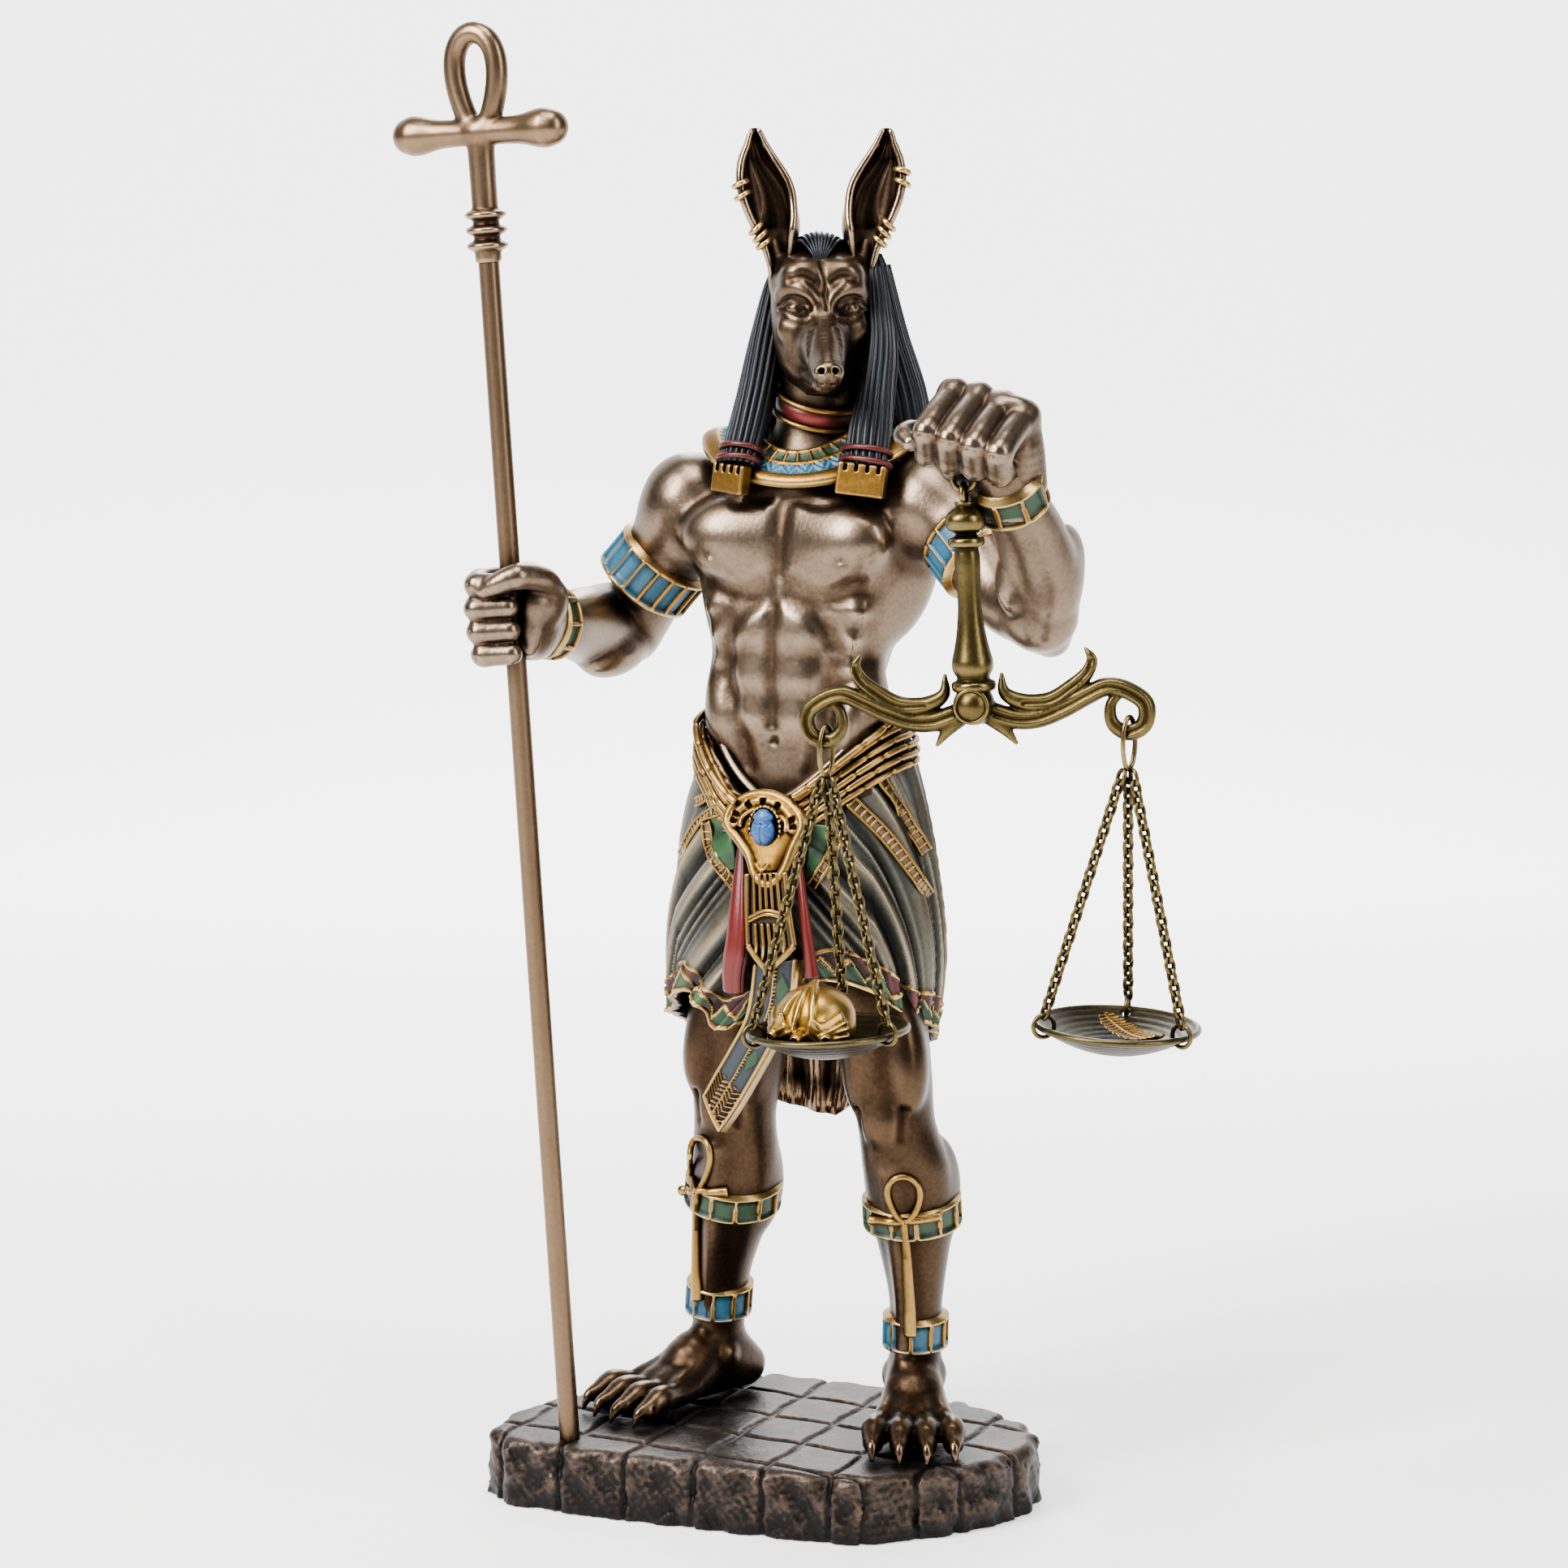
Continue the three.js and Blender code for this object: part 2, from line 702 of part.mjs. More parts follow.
// Staff, drawn upright with its foot on the paving
function staffRod() {
  return post([0, 0, fitClearance - socketDepth], [0, 0, rodTopHeight], rodRadius, 14);
}

function staffAnkh() {
  const low = rodTopHeight + fitClearance;
  const cross = low + ankhStemLength + ankhArmRadius;
  const loop = Array.from({ length: 13 }, (_, k) => {
    const turn = (k / 12) * 2 * Math.PI;
    const wide = Math.sin(turn) * (1 - 0.3 * Math.cos(turn)) * ankhLoopHalfWidth;
    return [wide, 0, cross + (ankhLoopRise * (1 - Math.cos(turn))) / 2];
  });
  const half = ankhArmSpan / 2;
  const waist = ankhArmRadius * 1.08;
  const arms = bar(
    [[-half, 0, cross], [0, 0, cross], [half, 0, cross]],
    [ankhArmEndRadius, waist, ankhArmRadius, waist, ankhArmEndRadius],
    8,
    4,
  );
  const rings = Array.from({ length: staffRingCount }, (_, i) =>
    [0, 1, 2].map((edge) => [
      0,
      0,
      low + i * staffRingPitch + edge * staffRingRadius,
      ankhArmRadius + (edge === 1 ? staffRingRadius : 0),
    ]),
  ).flat();
  const stem = limb([...rings, [0, 0, cross, ankhArmRadius * 1.1, ankhStrandRadius]]);
  return joined([bar(loop, [ankhStrandRadius, ankhStrandRadius], 6, 12), arms, stem]);
}

// Balance: it hangs from the ring in the left fist. Its own frame has the eye of the stem at the
// origin, the beam along X and the front towards -Y.
const eyeCentre = [
  hangRingCentre[0],
  hangRingCentre[1],
  hangRingCentre[2] - hangRingRadius - eyeRadius + eyeWire + hangRingWire + fitClearance,
];

// One arm, as shares of the half span: a strand that ends in a hook, a leaf curling off it, and a spur.
function beamArm(s) {
  const at = (points) =>
    points.map(([x, z]) => [s * x * beamHalfSpan, 0, z * beamHalfSpan - stemLength]);
  const hook = [80, 20, -40, -95, -150, -210, -250].map((deg) => [
    1 + ((hookRadius * 1.12) / beamHalfSpan) * Math.cos(toRadians(deg)),
    (hookRadius * 1.2 * Math.sin(toRadians(deg)) - hookSag) / beamHalfSpan,
  ]);
  const strand = [
    [0, -0.02], [0.14, -0.066], [0.28, -0.107], [0.41, -0.103], [0.59, -0.041], [0.73, 0.031],
    [0.876, 0.09], ...hook,
  ];
  const leaf = [
    [0.186, 0.193], [0.2, 0.055], [0.328, -0.014], [0.497, 0.01], [0.638, 0.093], [0.745, 0.183],
    [0.779, 0.269], [0.738, 0.341],
  ];
  const spur = [[0.07, -0.07], [0.186, -0.166], [0.262, -0.262]];
  const thick = hookStrand;
  return [
    bar(at(strand), [1.3, 1.2, 1.15, 1, 0.8, 0.85, 1.2, 0.5].map((share) => share * thick), 5, 15),
    bar(at(leaf), [0.3, 0.85, 1.07, 1.07, 1, 0.85, 0.6, 0.2].map((share) => share * thick), 5, 7),
    bar(at(spur), [1.07, 0.8, 0.27].map((share) => share * thick), 4, 2),
  ];
}

function balanceBeam() {
  const profile = [
    [0, 0], [0.87, 0.015], [1.05, 0.076], [0.82, 0.116], [1, 0.202], [0.56, 0.455], [0.64, 0.682],
    [0.82, 0.722], [0.85, 0.758], [0.56, 0.803], [0.82, 0.869], [0.54, 0.924], [0, 0.965],
  ];
  const outline = profile.map(([r, z]) => new THREE.Vector2(r * bossRadius, z * stemLength));
  const lathe = new THREE.LatheGeometry(outline, 8);
  lathe.rotateX(Math.PI / 2);
  const stem = posed(solidOf(lathe), [0, 0, -stemLength]);
  const boss = ellipsoid(
    [0, -0.2 * bossRadius, -stemLength],
    [bossRadius, 1.13 * bossRadius, bossRadius],
    [0, 0, 0],
    8,
    5,
  );
  const eye = posed(ring(eyeRadius, eyeWire, 8, 4), [0, 0, 0], [0, 90, 0]);
  return joined([eye, stem, boss, ...beamArm(-1), ...beamArm(1)]);
}

// The places below are worked out from the foot of the hook that they hang from.
const balanceTurn = new THREE.Euler(0, -toRadians(balanceTiltDeg), toRadians(balanceTurnDeg), "ZYX");
const hookFoot = (side) =>
  new THREE.Vector3(side * beamHalfSpan, 0, -hookSag - hookRadius * 1.2 - stemLength)
    .applyEuler(balanceTurn)
    .add(new THREE.Vector3(...eyeCentre));
const hangerTopRise = 1.7 * hookStrand + 2 * linkWire;
const hangerFootDrop = hangerHeight - hangerTopRise - linkWire;
const holeRadius = panRadius - panHoleInset;
const rimDropAtHole = panDepth * (1 - (holeRadius / panRadius) ** 2);
const ringLean = toRadians(60);
const ringReach = holeRadius + panRingRadius * Math.cos(ringLean);
const ringHeight = panRingRadius * Math.sin(ringLean) - rimDropAtHole;
const chainDrop = Math.sqrt(chainLength ** 2 - ringReach ** 2);
const panDrop = hangerFootDrop + chainDrop + ringHeight + panRingRadius;
const chainBearing = (k) => toRadians(firstChainDeg + k * (360 / chainsPerPan));
const panTilt = (side) => new THREE.Euler(0, side < 0 ? -toRadians(heartPanTiltDeg) : 0, 0);

// A hanger link, its middle below the hook
function hanger() {
  const link = ring(hangerWidth / 2, linkWire, 8, 4, (hangerHeight - hangerWidth) / 2 - linkWire);
  return posed(link, [0, 0, hangerTopRise - hangerHeight / 2], [90, 0, hangerTurnDeg]);
}

function pan() {
  const steps = 3;
  const bowl = (depth, up) =>
    Array.from({ length: steps + 1 }, (_, i) => {
      const t = i / steps;
      return new THREE.Vector2(panRadius * t, up - depth * (1 - t ** 2));
    });
  const section = [...bowl(panDepth, 0), ...bowl(panDepth - panWall, rimRise).reverse()];
  const dish = new THREE.LatheGeometry(section, 16);
  dish.rotateX(Math.PI / 2);
  const holes = Array.from({ length: chainsPerPan }, (_, k) => {
    const x = holeRadius * Math.cos(chainBearing(k));
    const y = holeRadius * Math.sin(chainBearing(k));
    return post([x, y, -panDepth], [x, y, panDepth], panHoleRadius, 4);
  });
  return cutBy(solidOf(dish), holes);
}

// A ring through a pan's hole, round the rim
function panRing(k) {
  const angle = chainBearing(k);
  const place = [ringReach * Math.cos(angle), ringReach * Math.sin(angle), ringHeight];
  return posed(ring(panRingRadius, linkWire, 8, 4), place, [90, 0, THREE.MathUtils.radToDeg(angle)]);
}

// One chain: links lie edge to face in turn, drawn together where each passes through the next.
function chain(side, k) {
  const angle = chainBearing(k);
  const outward = new THREE.Vector3(Math.cos(angle), Math.sin(angle), 0);
  const top = new THREE.Vector3(0, 0, -hangerFootDrop - chainTopGap).addScaledVector(outward, chainTopSpread);
  const foot = outward.clone().multiplyScalar(ringReach);
  foot.z = ringHeight + panRingRadius;
  foot.applyEuler(panTilt(side));
  foot.z -= panDrop;
  const along = foot.clone().sub(top).normalize();
  foot.addScaledVector(along, -linkWire - fitClearance);
  const across = new THREE.Vector3(-Math.sin(angle), Math.cos(angle), 0).applyAxisAngle(along, Math.PI / 4);
  const deep = new THREE.Vector3().crossVectors(along, across);
  const waist = chainLinkWaist / 2;
  return skin(
    Array.from({ length: chainLinkCount + 1 }, (_, i) => {
      const wide = i % 2 ? waist : chainLinkWidth / 2;
      const thick = i % 2 ? chainLinkWidth / 2 : waist;
      return [[wide, 0], [0, thick], [-wide, 0], [0, -thick]].map(([u, v]) =>
        top
          .clone()
          .lerp(foot, i / chainLinkCount)
          .addScaledVector(across, u)
          .addScaledVector(deep, v),
      );
    }),
  );
}

// Loads, standing in a pan whose rim is at zero height
const panFloor = (reach) =>
  rimRise + fitClearance - (panDepth - panWall) * (1 - (reach / panRadius) ** 2);

function heart() {
  const r = heartSize / 2;
  const lobes = [
    ellipsoid([0, 0, r * 0.84], [r, r * 0.92, r * 0.76], [0, 0, 0], 10, 6),
    ellipsoid([-r * 0.36, -r * 0.24, r * 0.66], [r * 0.66, r * 0.8, r * 0.62], [0, 0, 0], 6, 5),
    ellipsoid([r * 0.42, -r * 0.18, r * 0.62], [r * 0.62, r * 0.78, r * 0.56], [0, 0, 0], 6, 5),
  ];
  const vessels = [-0.5, 0, 0.46].map((x, i) =>
    post([x * r, -r * 0.5, r * 0.5], [x * r * 1.3, -r * 1.02, r * (0.42 + 0.05 * i)], r * 0.17, 4),
  );
  const height = panFloor(Math.hypot(...heartShift) + 0.35 * r);
  return posed(joined([...lobes, ...vessels]), [...heartShift, height]);
}

function feather() {
  const half = featherLength / 2;
  const [aheadX, aheadY] = featherHeading;
  const [shiftX, shiftY] = featherShift;
  return limb(
    [-1, -0.6, -0.1, 0.4, 0.8, 1].map((t) => {
      const x = shiftX + aheadX * half * t;
      const y = shiftY + aheadY * half * t;
      const height = panFloor(Math.hypot(x, y) + featherHalfWidth / 2) + 1;
      return [x, y, height, 0.4 + featherHalfWidth * Math.sqrt(1 - t * t), 0.6];
    }),
    6,
    [-aheadY, aheadX, 0],
  );
}

// The model
function piece(name, solid, material, place = [0, 0, 0]) {
  const mesh = new THREE.Mesh(geometryOf(solid), material);
  mesh.name = name;
  mesh.position.set(...place);
  return mesh;
}

const statue = new THREE.Group();
statue.add(piece("base", base(), stoneBronze), piece("figure", figure(), castBronze, figureOrigin));

const staff = new THREE.Group();
staff.position.set(...staffAt(0));
staff.quaternion.setFromUnitVectors(new THREE.Vector3(0, 0, 1), staffAlong);
staff.add(piece("staff_rod", staffRod(), satinBronze), piece("staff_ankh", staffAnkh(), satinBronze));
statue.add(staff);

const ringSolid = ring(hangRingRadius, hangRingWire, 12, 4);
const handRing = piece("hanging_ring", ringSolid, agedBrass, hangRingCentre);
handRing.rotation.x = Math.PI / 2;
const beam = piece("balance_beam", balanceBeam(), agedBrass, eyeCentre);
beam.rotation.copy(balanceTurn);
statue.add(handRing, beam);

// Each side hangs from its hook, a little out of plumb; the heart's pan tips under the heart.
for (const [label, side] of [["left", -1], ["right", 1]]) {
  const hung = new THREE.Group();
  hung.position.copy(hookFoot(side));
  hung.rotation.y = toRadians(hangLeanDeg[label]);
  hung.add(piece(`${label}_hanger_link`, hanger(), agedBrass));
  const tray = new THREE.Group();
  tray.position.z = -panDrop;
  tray.rotation.copy(panTilt(side));
  tray.add(piece(`${label}_pan`, pan(), darkBrass));
  for (let k = 0; k < chainsPerPan; k++) {
    hung.add(piece(`${label}_chain_${k + 1}`, chain(side, k), agedBrass));
    tray.add(piece(`${label}_pan_ring_${k + 1}`, panRing(k), agedBrass));
  }
  if (side < 0) tray.add(piece("heart", heart(), goldLeaf));
  else tray.add(piece("feather", feather(), castBronze));
  hung.add(tray);
  statue.add(hung);
}

export default statue;
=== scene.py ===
# Desk statue of a jackal-headed guardian of the dead with an ankh staff and a balance: every surface
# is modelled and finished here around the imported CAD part. Forms are worked in millimetres.
import math

import bpy
import numpy as np
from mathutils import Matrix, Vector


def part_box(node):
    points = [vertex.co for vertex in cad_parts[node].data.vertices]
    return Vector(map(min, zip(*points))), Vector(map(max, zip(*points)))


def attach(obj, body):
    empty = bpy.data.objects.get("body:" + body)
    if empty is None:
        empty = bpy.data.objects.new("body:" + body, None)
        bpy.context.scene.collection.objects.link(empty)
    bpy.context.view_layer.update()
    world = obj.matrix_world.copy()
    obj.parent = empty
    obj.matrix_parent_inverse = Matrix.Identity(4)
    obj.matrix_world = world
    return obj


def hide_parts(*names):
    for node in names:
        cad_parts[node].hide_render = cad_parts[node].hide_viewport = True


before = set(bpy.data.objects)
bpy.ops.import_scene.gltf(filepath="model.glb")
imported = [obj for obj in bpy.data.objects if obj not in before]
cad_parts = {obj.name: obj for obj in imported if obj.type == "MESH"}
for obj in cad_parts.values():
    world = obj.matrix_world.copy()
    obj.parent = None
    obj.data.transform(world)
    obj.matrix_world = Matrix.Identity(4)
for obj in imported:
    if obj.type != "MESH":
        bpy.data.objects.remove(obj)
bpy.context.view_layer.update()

import openvdb
from mathutils import Euler, Vector
from mathutils.bvhtree import BVHTree

figurePlace = np.array([1.0, 10.5, 14.0])  # the figure's own origin, between its soles on the paving
headPlace = np.array([3.2, 0.2, 231.0])  # middle of the skull in the figure's frame
headTurn = 29  # degrees, towards the balance
farAway = 5.0  # distance given to empty clay, in mm
toEye = np.array([0.449, -0.881, 0.151])  # from the statue to the viewer


# Places from the CAD frame, in mm
def cadPoints(node):
    return np.array([v.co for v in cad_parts[node].data.vertices]) * 1000


def middle(node):
    low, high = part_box(node)
    return np.array((low + high) / 2) * 1000


def endsOf(node, share):
    # The middles of a long node's top and foot, from that share of its points
    points = cadPoints(node)
    points = points[np.argsort(points[:, 2])]
    some = max(4, int(len(points) * share))
    return points[-some:].mean(0), points[:some].mean(0)


def fullTurn(count):
    # Bearings spaced evenly all the way round
    return np.linspace(0, 2 * math.pi, count, endpoint=False)


def unit(v):
    v = np.asarray(v, float)
    return v / np.linalg.norm(v, axis=-1, keepdims=True)


def spinOf(degrees):
    return np.array(Euler([math.radians(d) for d in degrees], "XYZ").to_matrix())


def turned(points, degrees):
    return np.asarray(points, float) @ spinOf(degrees).T


def fromHead(points):
    return turned(points, (0, 0, headTurn)) + headPlace


def eased(xs, ys, x):
    # Smooth values through a few stations
    xs, ys = np.asarray(xs, float), np.asarray(ys, float)
    slope = np.gradient(ys, xs)
    i = np.clip(np.searchsorted(xs, x) - 1, 0, len(xs) - 2)
    span = xs[i + 1] - xs[i]
    t = np.clip((x - xs[i]) / span, 0, 1)
    a, b = ys[i], ys[i + 1]
    rise = t * t * (3 - 2 * t)
    return a + (b - a) * rise + span * (slope[i] * t * (1 - t) ** 2 - slope[i + 1] * t * t * (1 - t))


def curved(points, count, closed=False):
    # Evenly spaced points on a smooth curve through a few
    p = np.asarray(points, float)
    if closed:
        p = np.vstack([p, p[:1]])
    step = np.r_[0, np.cumsum(np.linalg.norm(np.diff(p[:, :3], axis=0), axis=1) ** 0.5)]
    if closed:
        p = np.vstack([p[-2], p, p[1]])
        step = np.r_[step[0] - (step[-1] - step[-2]), step, step[-1] + step[1]]
    fine = np.linspace(step[1] if closed else 0, step[-2] if closed else step[-1], count * 8 + 1)
    dense = np.stack([eased(step, p[:, k], fine) for k in range(p.shape[1])], 1)
    run = np.r_[0, np.cumsum(np.linalg.norm(np.diff(dense[:, :3], axis=0), axis=1))]
    even = np.linspace(0, run[-1], count + 1 if closed else count)
    out = np.stack([np.interp(even, run, dense[:, k]) for k in range(p.shape[1])], 1)
    return out[:-1] if closed else out


def localTo(spin, c, x, y, z):
    # Grid coordinates along the three axes of a turned form
    return [(x - c[0]) * spin[0, k] + (y - c[1]) * spin[1, k] + (z - c[2]) * spin[2, k] for k in range(3)]


def ovalDistance(local, radii):
    # Distance from an oval's surface, near enough beside it
    inside = np.sqrt(sum((q / r) ** 2 for q, r in zip(local, radii)))
    steep = np.sqrt(sum((q / r**2) ** 2 for q, r in zip(local, radii)))
    return inside * (inside - 1) / np.maximum(steep, 1e-6)


# Clay: distances to a surface on a grid, to which forms are added, blended and cut
class Clay:
    def __init__(self, low, high, cell, room=3.0):
        self.cell, self.room = cell, room
        self.low = np.array(low, float)
        self.count = np.ceil((np.array(high, float) - self.low) / cell).astype(int) + 1
        self.field = np.full(self.count, farAway, np.float32)

    def work(self, distance, low, high, blend, cut):
        margin = max(self.room, blend) + 2 * self.cell
        first = np.floor((np.array(low) - margin - self.low) / self.cell)
        last = np.ceil((np.array(high) + margin - self.low) / self.cell)
        first, last = [np.clip(ends, 0, self.count).astype(int) for ends in (first, last)]
        if np.any(last - first < 2):
            return
        axes = [self.low[k] + self.cell * np.arange(first[k], last[k]) for k in range(3)]
        x, y, z = np.meshgrid(*[a.astype(np.float32) for a in axes], indexing="ij", sparse=True)
        spans = tuple(slice(a, b) for a, b in zip(first, last))
        old, new = self.field[spans], distance(x, y, z)
        near = np.maximum(blend - np.abs(old + new if cut else old - new), 0) ** 2 / max(4 * blend, 1e-6)
        self.field[spans] = np.maximum(old, -new) + near if cut else np.minimum(old, new) - near

    def blob(self, centre, radii, turn=(0, 0, 0), blend=1.0, cut=False):
        spin = spinOf(turn)
        reach = np.sqrt(((spin * np.array(radii)) ** 2).sum(1))
        c = np.array(centre, float)
        distance = lambda x, y, z: ovalDistance(localTo(spin, c, x, y, z), radii)
        self.work(distance, c - reach, c + reach, blend, cut)

    def limb(self, stations, side=(1, 0, 0), blend=1.0, cut=False, steps=None):
        # stations: x, y, z, half width along the side direction, half depth; one radius makes it round
        rows = [(*s, s[3]) if len(s) == 4 else s for s in stations]
        path = curved(rows, steps or 4 * len(rows)) if len(rows) > 2 else np.array(rows, float)
        reach = path[:, 3:].max(1, keepdims=True)

        def distance(x, y, z):
            best = None
            for a, b in zip(path[:-1], path[1:]):
                along = b[:3] - a[:3]
                run = (x - a[0]) * along[0] + (y - a[1]) * along[1] + (z - a[2]) * along[2]
                t = np.clip(run / (along @ along), 0, 1)
                q = [p - a[k] - t * along[k] for k, p in enumerate((x, y, z))]
                wide, deep = a[3] + t * (b[3] - a[3]), a[4] + t * (b[4] - a[4])
                if abs(a[3] - a[4]) + abs(b[3] - b[4]) < 1e-6:
                    d = np.sqrt(q[0] ** 2 + q[1] ** 2 + q[2] ** 2) - wide
                else:
                    ahead = unit(along)
                    across = unit(np.array(side) - (np.array(side) @ ahead) * ahead)
                    through = np.cross(ahead, across)
                    u = [q[0] * v[0] + q[1] * v[1] + q[2] * v[2] for v in (across, through, ahead)]
                    d = ovalDistance(u, (wide, deep, np.minimum(wide, deep)))
                best = d if best is None else np.minimum(best, d)
            return best

        self.work(distance, (path[:, :3] - reach).min(0), (path[:, :3] + reach).max(0), blend, cut)

    def column(self, stations, blend=1.0):
        # An upright form of oval slices: x, y, z, half width, half depth
        s = np.array(stations, float)
        s = s[np.argsort(s[:, 2])]
        low = [(s[:, 0] - s[:, 3]).min(), (s[:, 1] - s[:, 4]).min(), s[0, 2]]
        high = [(s[:, 0] + s[:, 3]).max(), (s[:, 1] + s[:, 4]).max(), s[-1, 2]]

        def distance(x, y, z):
            cx, cy, wide, deep = [eased(s[:, 2], s[:, k], z).astype(np.float32) for k in (0, 1, 3, 4)]
            u, v = (x - cx) / wide, (y - cy) / deep
            inside = np.sqrt(u * u + v * v)
            steep = np.sqrt((u / wide) ** 2 + (v / deep) ** 2)
            flat = inside * (inside - 1) / np.maximum(steep, 1e-6)
            return np.maximum(flat, np.maximum(s[0, 2] - z, z - s[-1, 2]))

        self.work(distance, low, high, blend, False)

    def brick(self, centre, half, turn, soft, blend=0.4, cut=False):
        # A block with edges rounded by soft
        spin = spinOf(turn)
        reach = (np.abs(spin) * np.array(half)).sum(1)
        c, size = np.array(centre, float), np.array(half, float) - soft

        def distance(x, y, z):
            past = [np.abs(q) - r for q, r in zip(localTo(spin, c, x, y, z), size)]
            outside = np.sqrt(sum(np.maximum(q, 0) ** 2 for q in past))
            return outside + np.minimum(np.maximum(np.maximum(past[0], past[1]), past[2]), 0) - soft

        self.work(distance, c - reach, c + reach, blend, cut)

    def groove(self, points, radius, blend):
        self.limb([(*p, radius) for p in points], blend=blend, cut=True)

    def front(self, line):
        # The first surface met from the front at each x, z
        y = np.arange(self.low[1], self.low[1] + self.cell * (self.count[1] - 1), self.cell)
        found = []
        for x, z in line:
            depth = self.sample(np.stack([np.full(len(y), x), y, np.full(len(y), z)], 1))
            found.append((x, y[int(np.argmax(depth < 0))], z))
        return np.array(found)

    def mark(self, line, radius, depth, blend):
        # A line of x, z seen from the front, cut into the surface, or raised where depth is negative
        flat = [(x, 0, z) for x, z in line]
        path = curved(flat, 5 * len(flat))[:, ::2] if len(flat) > 2 else np.array(line, float)
        path = self.cling(self.front(path), radius - depth if depth > 0 else -depth - radius)
        if depth > 0:
            self.groove(path, radius, blend)
        else:
            self.limb([(*p, radius) for p in path], blend=blend, steps=len(path) * 2)

    def sample(self, points):
        # The field at any points, mixed from the eight cells round each
        q = np.clip((np.asarray(points, float) - self.low) / self.cell, 0, self.count - 1.001)
        i = q.astype(int)
        t = q - i
        total = 0
        for corner in np.ndindex(2, 2, 2):
            share = np.prod([t[:, k] if corner[k] else 1 - t[:, k] for k in range(3)], axis=0)
            total = total + share * self.field[tuple(i[:, k] + corner[k] for k in range(3))]
        return total

    def cling(self, points, lift):
        # Draws points onto the surface, and lifts them off it by a height
        p = np.array(points, float)
        for _ in range(3):
            slope = np.stack(
                [self.sample(p + step) - self.sample(p - step) for step in np.eye(3) * self.cell], 1
            )
            p -= unit(slope + 1e-9) * (self.sample(p) - lift)[:, None]
        return p

    def surface(self):
        grid = openvdb.FloatGrid(farAway)
        grid.copyFromArray(np.ascontiguousarray(self.field))
        points, quads = grid.convertToQuads(0)
        return self.low + points * self.cell, quads.astype(int)


# Shapes as points and quads
def gridFaces(rows, columns, closedRows=False):
    # Quads between rings of points, each ring closed on itself
    i, j = np.meshgrid(np.arange(rows if closedRows else rows - 1), np.arange(columns), indexing="ij")
    nextRow, nextColumn = (i + 1) % rows, (j + 1) % columns
    corners = [
        i * columns + j, i * columns + nextColumn, nextRow * columns + nextColumn, nextRow * columns + j
    ]
    return np.stack([c.ravel() for c in corners], 1)


def closedGrid(points):
    # A stack of closed rings with its two ends drawn shut; the end faces come last
    rows, columns = points.shape[:2]
    flat = points.reshape(-1, 3)
    ends = np.array([points[0].mean(0), points[-1].mean(0)])
    j = np.arange(columns)
    k = (j + 1) % columns
    first, last = rows * columns, (rows - 1) * columns
    lowCap = np.stack([k, j, np.full(columns, first), np.full(columns, first)], 1)
    highCap = np.stack([last + j, last + k, np.full(columns, first + 1), np.full(columns, first + 1)], 1)
    faces = np.vstack([gridFaces(rows, columns), lowCap, highCap])
    return np.vstack([flat, ends]), faces


def sideways(path, closed):
    # Two directions square to a path at each of its points, turning as little as they can
    if closed:
        ahead = unit(np.roll(path, -1, 0) - np.roll(path, 1, 0))
    else:
        ahead = unit(np.gradient(path, axis=0))
    start = np.cross(ahead[0], (0, 0, 1) if abs(ahead[0][2]) < 0.9 else (1, 0, 0))
    across = [unit(start)]
    for direction in ahead[1:]:
        across.append(unit(across[-1] - (across[-1] @ direction) * direction))
    across = np.array(across)
    if closed:
        over = np.cross(ahead[0], across[0])
        last = across[-1] - (across[-1] @ ahead[0]) * ahead[0]
        twist = math.atan2(last @ over, last @ across[0])
        share = np.arange(len(path)) / len(path) * -twist
        across = across * np.cos(share)[:, None] + np.cross(ahead, across) * np.sin(share)[:, None]
    return across, np.cross(ahead, across)


def tube(path, radius, sides, closed=False, flat=1.0):
    # A round wire along a path, or an oval one where flat isn't 1
    path = np.asarray(path, float)
    across, over = sideways(path, closed)
    radius = np.broadcast_to(np.asarray(radius, float), (len(path),))[:, None, None]
    angle = fullTurn(sides)[None, :, None]
    ways = across[:, None] * np.cos(angle) + flat * over[:, None] * np.sin(angle)
    rings = path[:, None] + radius * ways
    if closed:
        return rings.reshape(-1, 3), gridFaces(len(path), sides, True)
    return closedGrid(rings)


def turnedProfile(profile, sides):
    # A profile of radius and height, turned round Z
    angle = fullTurn(sides)
    r, z = np.array(profile, float).T
    rings = np.stack([r[:, None] * np.cos(angle), r[:, None] * np.sin(angle), z[:, None] + 0 * angle], 2)
    return closedGrid(rings)


def ovalAngles(wide, deep, count):
    # Angles that space points evenly round an oval
    fine = np.linspace(0, 2 * math.pi, 721)
    run = np.r_[0, np.cumsum(np.hypot(np.diff(wide * np.cos(fine)), np.diff(deep * np.sin(fine))))]
    return np.interp(np.linspace(0, 1, count, endpoint=False) * run[-1], run, fine)


def bandAround(stations, side, count):
    # Rings of points round a limb, each with its outward direction
    s = np.array(stations, float)
    ahead = unit(np.gradient(s[:, :3], axis=0))
    across = unit(np.array(side) - (ahead @ np.array(side))[:, None] * ahead)
    over = np.cross(ahead, across)
    rings, out = [], []
    for row, u, v in zip(s, across, over):
        angle = ovalAngles(row[3], row[4], count)[:, None]
        rings.append(row[:3] + row[3] * np.cos(angle) * u + row[4] * np.sin(angle) * v)
        out.append(unit(np.cos(angle) / row[3] * u + np.sin(angle) / row[4] * v))
    return np.array(rings), np.array(out)


